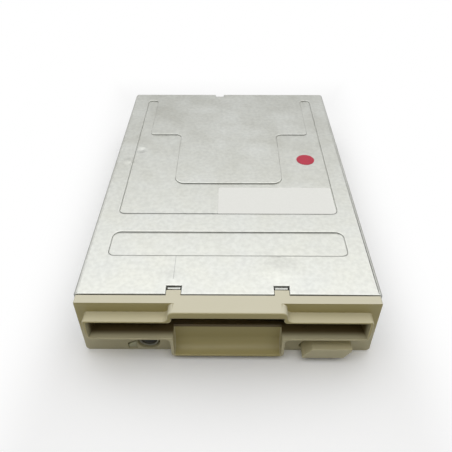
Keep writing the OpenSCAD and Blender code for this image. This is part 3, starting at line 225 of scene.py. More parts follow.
tree.links.new(relief.outputs["Normal"], shader.inputs["Normal"])
softened("chassis", "chassis_casting", CHASSIS_EDGE, cast_aluminium)

# Motor board: a glass-epoxy board under the spindle, screwed to the chassis floor from below. It
# carries the motor, the driver chip and, on a tongue at its front, the lamp.
BOARD_EDGE = 0.1 * MM
TRACK_PITCH, TRACK_FIELD = 1.27 * MM, 6 * MM
# Divided by a pitch, this gives the scale at which a wave texture repeats its bands at that pitch.
BANDS = math.pi / 10

# Glass-epoxy board under green lacquer: glossy, with paler green where copper tracks lie under it.
# The tracks run along or across in fields, as they do on a real board.
green_board, tree, shader = material("glass_epoxy_green_lacquer", Roughness=0.3, IOR=1.5)
place = add(tree, "TexCoord").outputs["Object"]
fields = add(tree, "TexVoronoi", {"Vector": place, "Scale": 1 / TRACK_FIELD}, distance="CHEBYCHEV")
lines = []
for axis in ("X", "Y"):
    wave = add(tree, "TexWave", {"Vector": place, "Scale": BANDS / TRACK_PITCH},
               bands_direction=axis)
    line = add(tree, "MapRange", {"Value": wave.outputs["Fac"], "From Min": 0.55, "From Max": 0.65})
    lines.append(line.outputs["Result"])
turned = add(tree, "Math", {0: fields.outputs["Color"], 1: 0.5}, operation="GREATER_THAN")
tracks = add(tree, "Mix", {"Factor": turned.outputs["Value"], 2: lines[0], 3: lines[1]})
tone = add(tree, "MixRGB", {"Fac": tracks.outputs[0], "Color1": linear("#2E5A38"),
                            "Color2": linear("#4C7F52")})
relief = add(tree, "Bump", {"Height": tracks.outputs[0], "Strength": 0.3, "Distance": 0.04 * MM})
tree.links.new(tone.outputs["Color"], shader.inputs["Base Color"])
tree.links.new(relief.outputs["Normal"], shader.inputs["Normal"])
softened("motor_board", "motor_board_sheet", BOARD_EDGE, green_board)

# Chips and the index sensor: bodies of moulded black epoxy. The chips are soldered under the boards
# by legs of tinned copper strip, and the sensor stands on the chassis floor in front of the rotor.
CHIP_EDGE = 0.12 * MM
CONTROLLER_LEGS, DRIVER_LEGS = 14, 8
FOUR_SIDES, TWO_SIDES = 4, 2
LEG, LEG_SPREAD, SQUARE = 0.3 * MM, 0.88, 4
LEG_BEND, LEG_FOOT, LEG_TIP = 0.5 * MM, 0.8 * MM, 1.4 * MM


def mottled(name, dark, light, size, detail=2, rough=0.5, relief=None, **sockets):
    """A material that a noise of a size mottles between two tones. The noise also raises the
    surface if relief gives a strength and a depth."""
    made, tree, shader = material(name, **sockets)
    place = add(tree, "TexCoord").outputs["Object"]
    noise = add(tree, "TexNoise", {"Vector": place, "Scale": 1 / size, "Detail": detail,
                                   "Roughness": rough})
    tone = add(tree, "MixRGB", {"Fac": noise.outputs["Fac"], "Color1": linear(dark),
                                "Color2": linear(light)})
    tree.links.new(tone.outputs["Color"], shader.inputs["Base Color"])
    if relief:
        strength, depth = relief
        bump = add(tree, "Bump", {"Height": noise.outputs["Fac"], "Strength": strength,
                                  "Distance": depth})
        tree.links.new(bump.outputs["Normal"], shader.inputs["Normal"])
    return made


def meshed(name, points, faces):
    """A new mesh of points and faces."""
    mesh = bpy.data.meshes.new(name)
    mesh.from_pydata(points, [], faces)
    return mesh


def tube(first, rings, sides):
    """The faces of a tube whose rings of points follow each other from the first point on."""
    starts = range(first, first + (rings - 1) * sides, sides)
    steps = [(k, (k + 1) % sides) for k in range(sides)]
    return [(i + near, i + k, i + k + sides, i + near + sides) for i in starts for k, near in steps]


def wire(name, paths, thick, sides, node, finish, slot=None):
    """Wire of a thickness laid along each path, with so many sides, as one piece."""
    points, faces = [], []
    for path in paths:
        first = len(points)
        across = (path[1] - path[0]).orthogonal().normalized()
        for i, point in enumerate(path):
            along = (path[min(i + 1, len(path) - 1)] - path[max(i - 1, 0)]).normalized()
            across = (across - across.dot(along) * along).normalized()
            rise = along.cross(across)
            for k in range(sides):
                turn = math.tau * (k + 0.5) / sides
                points.append(point + thick / 2 * (math.cos(turn) * across + math.sin(turn) * rise))
        last = len(points) - sides
        faces += [face[::-1] for face in tube(first, len(path), sides)]
        faces.append(tuple(reversed(range(first, first + sides))))
        faces.append(tuple(range(last, last + sides)))
    mesh = meshed(name, points, faces)
    if sides > SQUARE:
        mesh.shade_smooth()
    return fitted(name, mesh, node, finish, slot)


# Moulded black epoxy: dark grey and dull, with a fine sandy grain from the mould.
black_epoxy = mottled("epoxy_moulded_black", "#1F2021", "#2C2D2E", size=0.35 * MM,
                      relief=(0.2, 0.03 * MM), Roughness=0.6, IOR=1.55)

# Tinned copper: soft bright grey metal with a slightly cloudy skin.
tinned_copper = mottled("tinned_copper", "#AFB1B1", "#CDCFCE", size=0.8 * MM, detail=3,
                        Metallic=1.0, Roughness=0.35)

for node, legs, ends in (("controller_chip", CONTROLLER_LEGS, FOUR_SIDES),
                         ("driver_chip", DRIVER_LEGS, TWO_SIDES)):
    softened(node, node + "_body", CHIP_EDGE, black_epoxy)
    low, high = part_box(node)
    middle, half = (low + high) / 2, (high - low) / 2
    foot = Vector((0, 0, half.z - LEG / 2))
    paths = []
    for end in range(ends):
        angle = math.tau / ends * end
        out = Vector((math.cos(angle), math.sin(angle), 0))
        side = Vector((-out.y, out.x, 0))
        half_out = abs(out.x) * half.x + abs(out.y) * half.y
        half_side = abs(side.x) * half.x + abs(side.y) * half.y
        for i in range(legs):
            aside = half_side * LEG_SPREAD * (2 * i / (legs - 1) - 1)
            root = middle + half_out * out + aside * side
            paths.append([root, root + LEG_BEND * out, root + LEG_FOOT * out + foot,
                          root + LEG_TIP * out + foot])
    wire(node + "_legs", paths, LEG, SQUARE, node, tinned_copper, "steel")
softened("index_sensor", "index_sensor_body", CHIP_EDGE, black_epoxy)

# Spindle bearing: a flanged bush of sintered bronze, soaked with oil. It is pressed into the motor
# board, and the stator sits round it.
BEARING_EDGE = 0.2 * MM

# Sintered bronze: brownish yellow metal, dull and finely pored.
bronze = mottled("sintered_bronze", "#8C6A34", "#C29A58", size=0.3 * MM, detail=3,
                 relief=(0.3, 0.03 * MM), Metallic=1.0, Roughness=0.45)
softened("spindle_bearing", "bearing_bush", BEARING_EDGE, bronze)

# Stator: a stack of punched electrical-steel sheets, pushed onto the bush. Each of its poles is
# wound with enamelled wire.
LAMINATION = 0.4 * MM
POLES, TURNS = 9, 16
WINDING_WIRE, WINDING_SIDES = 0.5 * MM, 6
COIL_NEAR, COIL_FAR, COIL_HALF = 9.1 * MM, 17.1 * MM, 1.85 * MM

# Punched electrical steel: dark bluish grey metal, striped where the edges of the sheets show.
lamination_steel, tree, shader = material("electrical_steel_laminated", Metallic=1.0, Roughness=0.5)
place = add(tree, "TexCoord").outputs["Object"]
sheets = add(tree, "TexWave", {"Vector": place, "Scale": BANDS / LAMINATION}, bands_direction="Z")
tone = add(tree, "MixRGB", {"Fac": sheets.outputs["Fac"], "Color1": linear("#565B5E"),
                            "Color2": linear("#82878A")})
relief = add(tree, "Bump", {"Height": sheets.outputs["Fac"], "Strength": 0.3,
                            "Distance": 0.03 * MM})
tree.links.new(tone.outputs["Color"], shader.inputs["Base Color"])
tree.links.new(relief.outputs["Normal"], shader.inputs["Normal"])
fitted("stator_stack", frame["nodes"]["stator_core"].data.copy(), "stator_core", lamination_steel)

# Enamelled copper wire: reddish metal under a clear brown enamel. The wire is drawn thicker than
# the real 0.2 mm so that the turns show.
enamelled_wire = mottled("enamelled_copper_wire", "#8A4A22", "#B8703C", size=2 * MM,
                         Metallic=1.0, Roughness=0.3, Coat_Weight=0.6)
low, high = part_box("stator_coils")
axle = sum(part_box("spindle_shaft"), Vector()) / 2
axle.z = 0
bottom, top = low.z + WINDING_WIRE / 2, high.z - WINDING_WIRE / 2
corners = [(-COIL_HALF, bottom), (COIL_HALF, bottom), (COIL_HALF, top), (-COIL_HALF, top)]
steps = len(corners) * TURNS
paths = []
for pole in range(POLES):
    angle = math.tau * pole / POLES
    out = Vector((math.cos(angle), math.sin(angle), 0))
    side = Vector((-math.sin(angle), math.cos(angle), 0))
    path = []
    for step in range(steps):
        across, rise = corners[step % len(corners)]
        reach = COIL_NEAR + (COIL_FAR - COIL_NEAR) * step / (steps - 1)
        path.append(axle + reach * out + across * side + Vector((0, 0, rise)))
    paths.append(path)
wire("stator_windings", paths, WINDING_WIRE, WINDING_SIDES, "stator_coils", enamelled_wire)

# Spindle: a steel shaft in the bush carries the rotor, a pressed steel cup with a ferrite ring
# inside, and the hub chuck with its own magnet. A sprung pin in the chuck drives the disk's hub.
ROTOR_EDGE, CHUCK_EDGE, PIN_EDGE = 0.3 * MM, 0.2 * MM, 0.15 * MM
SHEET_CLOUD, SHEET_SPECKLE = 16 * MM, 1.6 * MM
BRUSH_ACROSS, BRUSH_ALONG = 0.35 * MM, 14 * MM

# Turned and ground steel: bright metal with fine marks from the lathe, drawn coarser than the real
# 0.05 mm so that they show.
turned_steel = mottled("turned_steel", "#B4B6B6", "#D2D4D4", size=0.35 * MM,
                       relief=(0.1, 0.02 * MM), Metallic=1.0, Roughness=0.22)

# Zinc-plated steel sheet: pale grey metal with soft blurred reflections, thin streaks along the
# drive, and clouds that turn from a warm to a cool grey.
plated_sheet, tree, shader = material("zinc_plated_steel_sheet", Metallic=1.0)
place = add(tree, "TexCoord").outputs["Object"]
cloud = add(tree, "TexNoise", {"Vector": place, "Scale": 1 / SHEET_CLOUD, "Detail": 5,
                               "Roughness": 0.6})
tone = add(tree, "MixRGB", {"Fac": cloud.outputs["Fac"], "Color1": linear("#BDBDB3"),
                            "Color2": linear("#CBCDCB")})
speckle = add(tree, "TexNoise", {"Vector": place, "Scale": 1 / SHEET_SPECKLE, "Detail": 3})
spots = add(tree, "MapRange", {"Value": speckle.outputs["Fac"], "From Min": 0.35, "From Max": 0.65,
                               "To Min": 0.93, "To Max": 1.03})
shade = add(tree, "MixRGB", {"Fac": 1.0, "Color1": tone.outputs["Color"],
                             "Color2": spots.outputs["Result"]}, blend_type="MULTIPLY")
streak = (1 / BRUSH_ACROSS, 1 / BRUSH_ALONG, 1 / BRUSH_ACROSS)
drawn = add(tree, "Mapping", {"Vector": place, "Scale": streak})
brush = add(tree, "TexNoise", {"Vector": drawn.outputs["Vector"], "Scale": 1.0, "Detail": 2})
dull = add(tree, "MapRange", {"Value": cloud.outputs["Fac"], "From Min": 0.3, "From Max": 0.7,
                              "To Min": 0.38, "To Max": 0.5})
relief = add(tree, "Bump", {"Height": brush.outputs["Fac"], "Strength": 0.12,
                            "Distance": 0.03 * MM})
tree.links.new(shade.outputs["Color"], shader.inputs["Base Color"])
tree.links.new(dull.outputs["Result"], shader.inputs["Roughness"])
tree.links.new(relief.outputs["Normal"], shader.inputs["Normal"])

# Sintered ferrite: nearly black ceramic, dull, with a faint grain.
ferrite = mottled("sintered_ferrite", "#2A2928", "#403F3D", size=0.4 * MM, Roughness=0.65, IOR=2.2)
softened("spindle_shaft", "shaft_ground", PIN_EDGE, turned_steel)
softened("spindle_rotor", "rotor_cup", ROTOR_EDGE, plated_sheet)
softened("rotor_magnet", "rotor_ring", PIN_EDGE, ferrite)
softened("hub_chuck", "chuck_turned", CHUCK_EDGE, turned_steel)
softened("chuck_magnet", "chuck_ring", PIN_EDGE, ferrite)
softened("drive_pin", "drive_pin_turned", PIN_EDGE, turned_steel)

# Springs of hard-drawn steel wire: under the drive pin, on the lever's rivet, on the hinge pin, and
# two long ones that draw the eject slide forward.
X, Z = 0, 2
PIN_WIRE, LEVER_WIRE, LOAD_WIRE, SLIDE_WIRE = 0.3 * MM, 0.45 * MM, 0.5 * MM, 0.35 * MM
PIN_TURNS, LEVER_TURNS, LOAD_TURNS, SLIDE_TURNS = 3, 2, 5, 56
TURN_STEPS = 12
FINE_SIDES, ROUND_SIDES = 6, 8

# Hard-drawn spring wire: darker grey metal with a drawn shine.
spring_wire = mottled("spring_wire_drawn", "#7A7C7B", "#9FA1A0", size=0.6 * MM,
                      Metallic=1.0, Roughness=0.3)


def coil(start, end, radius, turns):
    """A path that winds so many turns round the line from start to end."""
    along = (end - start).normalized()
    across = along.orthogonal().normalized()
    rise = along.cross(across)
    path = []
    for step in range(turns * TURN_STEPS + 1):
        angle = math.tau * step / TURN_STEPS
        spot = start.lerp(end, step / (turns * TURN_STEPS))
        path.append(spot + radius * (math.cos(angle) * across + math.sin(angle) * rise))
    return path


def wound(node, axis, wide, thick, turns):
    """A coil's path that fills a node's box along one axis and is as wide as it along another."""
    low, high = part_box(node)
    start, end = (low + high) / 2, (low + high) / 2
    start[axis], end[axis] = low[axis] + thick / 2, high[axis] - thick / 2
    return coil(start, end, (high[wide] - low[wide] - thick) / 2, turns)


low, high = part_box("drive_pin_spring")
middle = (low + high) / 2
path = wound("drive_pin_spring", Z, X, PIN_WIRE, PIN_TURNS)
spring = wire("drive_pin_coil", [path], PIN_WIRE, FINE_SIDES, "drive_pin_spring", spring_wire)
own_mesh(spring)
path = wound("lever_spring", Z, X, LEVER_WIRE, LEVER_TURNS)
wire("lever_coil", [path], LEVER_WIRE, ROUND_SIDES, "lever_spring", spring_wire)
path = wound("load_spring", X, Z, LOAD_WIRE, LOAD_TURNS)
wire("load_coil", [path], LOAD_WIRE, ROUND_SIDES, "load_spring", spring_wire)
low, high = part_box("slide_springs")
middle = (low + high) / 2
radius = (high.z - low.z - SLIDE_WIRE) / 2
reach = high.x - radius - SLIDE_WIRE / 2
paths = [coil(Vector((x, low.y, middle.z)), Vector((x, high.y, middle.z)), radius, SLIDE_TURNS)
         for x in (-reach, reach)]
spring = wire("slide_coils", paths, SLIDE_WIRE, FINE_SIDES, "slide_springs", spring_wire)
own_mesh(spring)

# Screws: zinc-plated steel, with a cross recess for the boards, which they hold from below, and
# with a plain head for the bracket and the rod clamps, which they hold from above.
SCREW_EDGE = 0.12 * MM

# Zinc-plated screw steel: grey metal, half bright, a little uneven.
screw_steel = mottled("zinc_plated_screw_steel", "#8E908F", "#B6B8B7", size=1.2 * MM, detail=3,
                      Metallic=1.0, Roughness=0.35)
for node in ("motor_screws", "board_screws", "bracket_screws", "clamp_screws"):
    softened(node, node + "_plated", SCREW_EDGE, screw_steel)

# Head guide: two ground steel rods that lie on posts of the chassis. Each is held down by two small
# plates of plated steel.
ROD_EDGE, CLAMP_EDGE = 0.15 * MM, 0.1 * MM
softened("guide_rods", "rods_ground", ROD_EDGE, turned_steel)
softened("rod_clamps", "clamp_plates", CLAMP_EDGE, plated_sheet)

# Stepper: a round motor in a drawn steel can, on a bent bracket whose ear carries the far end of
# the lead screw. The screw has one steep thread, which the carriage's follower rides in.
CAN_EDGE, BRACKET_EDGE = 0.2 * MM, 0.18 * MM
THREAD_LEAD, THREAD_DEPTH, GROOVE_HALF = 3.75 * MM, 0.35 * MM, 0.2
THREAD_STEP, THREAD_SIDES = 0.25 * MM, 24
PIVOT, PIVOT_R = 1.6 * MM, 1.0 * MM
softened("stepper_motor", "stepper_can", CAN_EDGE, plated_sheet)
softened("stepper_bracket", "bracket_bent", BRACKET_EDGE, plated_sheet)
low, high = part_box("lead_screw")
middle = (low + high) / 2
radius = (high.x - low.x) / 2
threaded = high.y - low.y - PIVOT
rows = int(threaded / THREAD_STEP)
stations = [(low.y, 0.0), (low.y, PIVOT_R), (low.y + PIVOT, PIVOT_R)]
stations += [(low.y + PIVOT + threaded * i / rows, radius) for i in range(rows + 1)]
stations.append((high.y, 0.0))
points = []
for y, reach in stations:
    for k in range(THREAD_SIDES):
        angle = math.tau * k / THREAD_SIDES
        phase = (y / THREAD_LEAD - k / THREAD_SIDES) % 1.0
        groove = max(0.0, 1 - abs(phase - 0.5) / GROOVE_HALF) if reach == radius else 0.0
        bound = reach - THREAD_DEPTH * groove
        points.append((middle.x + bound * math.cos(angle), y, middle.z + bound * math.sin(angle)))
mesh = meshed("screw_thread", points, tube(0, len(stations), THREAD_SIDES))
mesh.validate()
mesh.shade_smooth()
fitted("screw_thread", mesh, "lead_screw", turned_steel)

# Head carriage: a moulding of glass-filled plastic on the two rods. It carries the lower head, and
# on a hinge pin the upper arm, a pale moulding with the upper head.
CARRIAGE_EDGE, ARM_EDGE, HEAD_EDGE, HINGE_EDGE = 0.25 * MM, 0.2 * MM, 0.25 * MM, 0.1 * MM
FIBRE_ACROSS, FIBRE_ALONG = 0.25 * MM, 2 * MM
RAIL = 2.2 * MM

# Glass-filled plastic: dark grey and half dull, with short streaks where fibres lie under the skin.
filled_plastic, tree, shader = material("plastic_glass_filled_black", Roughness=0.5, IOR=1.55)
place = add(tree, "TexCoord").outputs["Object"]
streak = (1 / FIBRE_ACROSS, 1 / FIBRE_ALONG, 1 / FIBRE_ACROSS)
drawn = add(tree, "Mapping", {"Vector": place, "Scale": streak})
fibres = add(tree, "TexNoise", {"Vector": drawn.outputs["Vector"], "Scale": 1.0, "Detail": 2})
tone = add(tree, "MixRGB", {"Fac": fibres.outputs["Fac"], "Color1": linear("#2C2C2E"),
                            "Color2": linear("#414143")})
relief = add(tree, "Bump", {"Height": fibres.outputs["Fac"], "Strength": 0.2,
                            "Distance": 0.03 * MM})
tree.links.new(tone.outputs["Color"], shader.inputs["Base Color"])
tree.links.new(relief.outputs["Normal"], shader.inputs["Normal"])

# Pale moulded acetal: cream, half dull, with the slight flow clouds of a moulding.
pale_plastic = mottled("acetal_moulded_cream", "#CFCBBB", "#E2DFD2", size=5 * MM, detail=4,
                       Roughness=0.4, IOR=1.48)

# Head ceramic: pale, hard and polished, with the darker slots that part its two rails.
head_ceramic, tree, shader = material("head_ceramic_polished", Roughness=0.18, IOR=1.76)
place = add(tree, "TexCoord").outputs["Object"]
rails = add(tree, "TexWave", {"Vector": place, "Scale": BANDS / RAIL}, bands_direction="X")
slots = add(tree, "MapRange", {"Value": rails.outputs["Fac"], "From Min": 0.06, "From Max": 0.12})
tone = add(tree, "MixRGB", {"Fac": slots.outputs["Result"], "Color1": linear("#6C6A66"),
                            "Color2": linear("#DEDCD3")})
tree.links.new(tone.outputs["Color"], shader.inputs["Base Color"])
softened("head_carriage", "carriage_moulding", CARRIAGE_EDGE, filled_plastic)
softened("hinge_pin", "hinge_pin_ground", HINGE_EDGE, turned_steel)
softened("upper_arm", "arm_moulding", ARM_EDGE, pale_plastic)
softened("lower_head", "lower_slider", HEAD_EDGE, head_ceramic)
softened("upper_head", "upper_slider", HEAD_EDGE, head_ceramic)

# Flexible lead: a strip of polyimide film with copper tracks. One run is stuck to the chassis
# floor, one moves with the carriage, and the loop between them gives as the carriage seeks.
FILM_EDGE, FLEX_TRACK = 0.05 * MM, 0.8 * MM
FLEX_LAP, FLEX_CLEAR = 2 * MM, 0.02 * MM
FLEX_STEPS = 20

# Polyimide film over copper: clear amber with redder lines where the tracks lie.
amber_film, tree, shader = material("polyimide_film_copper", Roughness=0.3, IOR=1.7)
place = add(tree, "TexCoord").outputs["Object"]
wave = add(tree, "TexWave", {"Vector": place, "Scale": BANDS / FLEX_TRACK}, bands_direction="X")
tone = add(tree, "MixRGB", {"Fac": wave.outputs["Fac"], "Color1": linear("#8F5A1E"),
                            "Color2": linear("#C98F46")})
tree.links.new(tone.outputs["Color"], shader.inputs["Base Color"])
softened("fixed_flex", "fixed_film", FILM_EDGE, amber_film)
softened("moving_flex", "moving_film", FILM_EDGE, amber_film)
low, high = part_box("moving_flex")
half = (high.z - low.z) / 2
upper, lower = high.z - half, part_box("fixed_flex")[1].z + half + FLEX_CLEAR
radius = (upper - lower) / 2
bend_y = high.y + FLEX_LAP / 2
line = [(high.y, upper, 1.0, 0.0)]
for step in range(FLEX_STEPS + 1):
    angle = math.pi * step / FLEX_STEPS
    rise, out = math.cos(angle), math.sin(angle)
    line.append((bend_y + radius * out, lower + radius + radius * rise, rise, out))
line.append((bend_y - FLEX_LAP, lower, -1.0, 0.0))
ribbon = ((low.x, half), (low.x, -half), (high.x, -half), (high.x, half))
points = [(x, y + skin * out, z + skin * rise) for y, z, rise, out in line for x, skin in ribbon]
faces = tube(0, len(line), len(ribbon))
faces += [(0, 1, 2, 3), tuple(len(points) - k for k in (1, 2, 3, 4))]
mesh = meshed("flex_loop", points, faces)
mesh.materials.append(amber_film)
loop = bpy.data.objects.new("flex_loop", mesh)
scene.collection.objects.link(loop)
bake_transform(loop, "base", "carriage", (low.x, bend_y, lower + half), (low.x, bend_y, upper - half))

# Track sensor: a light gate moulded in black epoxy, which stands on the chassis floor beside the
# carriage and finds the outermost track.
SENSOR_EDGE = 0.2 * MM
softened("track_sensor", "track_sensor_body", SENSOR_EDGE, black_epoxy)

# Switches: two black blocks on the chassis floor, a pair at the left and a single one at the right,
# with pale plungers that feel the disk and its windows.
SWITCH_EDGE, PLUNGER_EDGE = 0.2 * MM, 0.15 * MM
for node in ("switch_pair", "single_switch"):
    softened(node, node + "_block", SWITCH_EDGE, filled_plastic)
for node in ("protect_plunger", "disk_in_plunger", "density_plunger"):
    softened(node, node + "_moulding", PLUNGER_EDGE, pale_plastic)

# Main board: the green board under the rear, screwed from below, with the controller chip and the
# legs of both connectors soldered through it. Two capacitors stand on the floor above it.
SOLDER_R, SOLDER_TIP, SOLDER_H, SOLDER_SIDES = 0.85 * MM, 0.42 * MM, 0.65 * MM, 10
CONTACT_PITCH = 2.54 * MM
SLEEVE_EDGE = 0.35 * MM
softened("main_board", "main_board_sheet", BOARD_EDGE, green_board)

# Solder: bright silvery metal, smooth and slightly wavy.
solder = mottled("solder_tin_lead", "#B9BBBC", "#D6D8D8", size=0.7 * MM,
                 Metallic=1.0, Roughness=0.25)
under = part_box("main_board")[0].z
spots = []
for node, rows in (("signal_pins", 2), ("power_pins", 1)):
    low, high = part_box(node)
    half = (high.x - low.x) % CONTACT_PITCH / 2
    count = round((high.x - low.x - 2 * half) / CONTACT_PITCH) + 1
    spots += [(low.x + half + i * CONTACT_PITCH, low.y + half + row * CONTACT_PITCH)
              for row in range(rows) for i in range(count)]
points, faces = [], []
for x, y in spots:
    first = len(points)
    for reach, z in ((SOLDER_R, under), (SOLDER_TIP, under - SOLDER_H)):
        for k in range(SOLDER_SIDES):
            angle = math.tau * k / SOLDER_SIDES
            points.append((x + reach * math.cos(angle), y + reach * math.sin(angle), z))
    faces += tube(first, 2, SOLDER_SIDES)
    faces.append(tuple(reversed(range(first + SOLDER_SIDES, first + 2 * SOLDER_SIDES))))
mesh = meshed("solder_joints", points, faces)
mesh.shade_smooth()
fitted("solder_joints", mesh, "main_board", solder, "steel")

# Sleeved aluminium can: a dark blue plastic sleeve with a bare metal top.
sleeved_can, tree, shader = material("aluminium_can_sleeved", Roughness=0.35, IOR=1.5)
upward = add(tree, "SeparateXYZ", {"Vector": add(tree, "NewGeometry").outputs["Normal"]})
bare = add(tree, "MapRange", {"Value": upward.outputs["Z"], "From Min": 0.85, "From Max": 0.95})
place = add(tree, "TexCoord").outputs["Object"]
cloud = add(tree, "TexNoise", {"Vector": place, "Scale": 1 / (1.5 * MM), "Detail": 2})
sleeve = add(tree, "MixRGB", {"Fac": cloud.outputs["Fac"], "Color1": linear("#28303A"),
                              "Color2": linear("#343E4A")})
tone = add(tree, "MixRGB", {"Fac": bare.outputs["Result"], "Color1": sleeve.outputs["Color"],
                            "Color2": linear("#C4C6C6")})
tree.links.new(tone.outputs["Color"], shader.inputs["Base Color"])
tree.links.new(bare.outputs["Result"], shader.inputs["Metallic"])
softened("capacitors", "capacitor_cans", SLEEVE_EDGE, sleeved_can)

# Connectors: two moulded housings open to the rear, a black one with two rows of gold-plated
# contacts and a natural white one with four tinned contacts.
HOUSING_EDGE, CONTACT_EDGE = 0.2 * MM, 0.06 * MM

# Gold-plated contact: warm yellow metal, polished.
gold_plate = mottled("gold_plated_bronze", "#BF9C4E", "#D9B96E", size=1.5 * MM,
                     Metallic=1.0, Roughness=0.22)
softened("signal_connector", "signal_housing", HOUSING_EDGE, filled_plastic)
softened("signal_pins", "signal_contacts", CONTACT_EDGE, gold_plate)
softened("power_connector", "power_housing", HOUSING_EDGE, pale_plastic)
softened("power_pins", "power_contacts", CONTACT_EDGE, tinned_copper)

# Disk holder: a folded steel sheet that lifts and drops the disk on four pins. A lever riveted on
# its roof slides the disk's shutter open, and the eject slide above it works both.
SHEET_EDGE, RIVET_EDGE = 0.15 * MM, 0.25 * MM
for node, name in (("disk_holder", "holder_folded"), ("eject_slide", "slide_folded"),
                   ("shutter_lever", "lever_punched")):
    softened(node, name, SHEET_EDGE, plated_sheet)
softened("holder_pins", "pins_pressed", PIN_EDGE, turned_steel)
softened("lever_rivet", "rivet_headed", RIVET_EDGE, turned_steel)

# Top cover: one sheet of zinc-plated steel, pressed with a bar and a branched panel and bent down
# on three sides. Behind each front notch a tongue is lanced down to catch the bezel's snap. The
# front walls of the press slope, and years of handling have dented and creased the sheet.
COVER_EDGE, FLOOR_SHARE = 0.27 * MM, 0.3
BEND = 1.3 * MM
PRESS_DEPTH, PANEL_FRONT = 0.6 * MM, -26.6 * MM
BAR_SLOPE, PANEL_SLOPE = 0.65 * MM, 1.15 * MM
UPRIGHT, UPWARD, LEVEL = 0.1, 0.99, 0.01 * MM
# Where each swell or dent lies across and along, how far it reaches, and how far it rises.
DENTS = ((18.2 * MM, -57.8 * MM, 9 * MM, 0.30 * MM), (-18.8 * MM, -61.3 * MM, 6 * MM, 0.16 * MM),
         (-45.2 * MM, 10.7 * MM, 3 * MM, 0.12 * MM), (-40.4 * MM, 20.8 * MM, 3 * MM, -0.18 * MM))
DENT_CUTS, CUT_SNAP = 10, 0.02 * MM
# Where the crease lies; a darker line is painted along it as the shade of a fold that the mesh lacks.
CREASE = {"X": (-18.52 * MM, -18.28 * MM), "Y": (-61.4 * MM, -49.4 * MM)}
WALL_SHADE_BACK, WALL_SHADE_FORE = 0.65, 0.5
TONGUE_X, TONGUE_HALF = 17.9 * MM, 2.1 * MM
TONGUE_Y, TONGUE_Z = (-65.2 * MM, -64.3 * MM), (24.3 * MM, 24.75 * MM)
BLOCK = ((0, 1, 3, 2), (4, 6, 7, 5), (0, 4, 5, 1), (2, 3, 7, 6), (0, 2, 6, 4), (1, 5, 7, 3))
low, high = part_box("top_cover")


def pressed(line):
    """Rounding for the edges that the press leaves in the sheet's top, less where a wall meets the
    pressed floor, and none on the bends around them."""
    middle = (line.verts[0].co + line.verts[1].co) / 2
    if abs(middle.x) > high.x - BEND or middle.y > high.y - BEND or middle.z < high.z - BEND:
        return 0.0
    return 1.0 if line.is_convex else FLOOR_SHARE


def within(tree, spot, factor, bounds):
    """A factor, kept only where a place lies inside the bounds along each axis that they name."""
    for axis, (least, most) in bounds.items():
        inside = add(tree, "Math", {0: spot.outputs[axis], 1: (least + most) / 2,
                                    2: (most - least) / 2}, operation="COMPARE")
        kept = add(tree, "Math", {0: factor, 1: inside.outputs["Value"]}, operation="MULTIPLY")
        factor = kept.outputs["Value"]
    return factor


# The plated sheet with painted shade: a darker line along the crease at its front, and darker
# faces where the press turns back or forward across the sheet, away from the light.
shaded_sheet = plated_sheet.copy()
shaded_sheet.name = "zinc_plated_steel_sheet_shaded"
tree = shaded_sheet.node_tree
shader = tree.nodes["Principled BSDF"]
spot = add(tree, "SeparateXYZ", {"Vector": add(tree, "TexCoord").outputs["Object"]})
unshaded_tone = shader.inputs["Base Color"].links[0].from_socket
# Painted shade: a thin darker line along the crease.
crease_shade = add(tree, "MixRGB", {"Fac": within(tree, spot, 1.0, CREASE), "Color1": unshaded_tone,
                               "Color2": linear("#A9AAA6")})
normal = add(tree, "NewGeometry").outputs["Normal"]
facing = add(tree, "SeparateXYZ", {"Vector": normal}).outputs["Y"]
# Painted shade: faces of the press that turn back or forward, away from the light, darken towards a dark
# grey.
back = add(tree, "MapRange", {"Value": facing, "From Min": 0.15, "From Max": 0.45,
                              "To Max": WALL_SHADE_BACK})
fore = add(tree, "MapRange", {"Value": facing, "From Min": -0.6, "From Max": -0.9,
                              "To Max": WALL_SHADE_FORE})
wall_shade = add(tree, "Math", {0: back.outputs["Result"], 1: fore.outputs["Result"]}, operation="ADD")
field = {"X": (low.x + 3 * BEND, high.x - 3 * BEND), "Y": (low.y + BEND, high.y - BEND),
         "Z": (high.z - BEND, high.z + BEND)}
tone = add(tree, "MixRGB", {"Fac": within(tree, spot, wall_shade.outputs["Value"], field),
                            "Color1": crease_shade.outputs["Color"], "Color2": linear("#4A4A46")})
tree.links.new(tone.outputs["Color"], shader.inputs["Base Color"])
sheet = softened("top_cover", "cover_sheet", COVER_EDGE, shaded_sheet, pressed)

# The foot of each wall that faces back moves away from its top, which slopes the wall.
shape = bmesh.new()
shape.from_mesh(sheet.data)
for corner in shape.verts:
    walls = {tuple(round(part, 3) for part in face.normal) for face in corner.link_faces
             if abs(face.normal.z) < UPRIGHT}
    floored = any(face.normal.z > UPWARD for face in corner.link_faces)
    if walls and floored and abs(corner.co.z - high.z + PRESS_DEPTH) < LEVEL:
        inward = sum((Vector(wall) for wall in walls), Vector()).normalized()
        slope = PANEL_SLOPE if corner.co.y > PANEL_FRONT - BEND else BAR_SLOPE
        corner.co += slope * max(0.0, inward.y) * inward

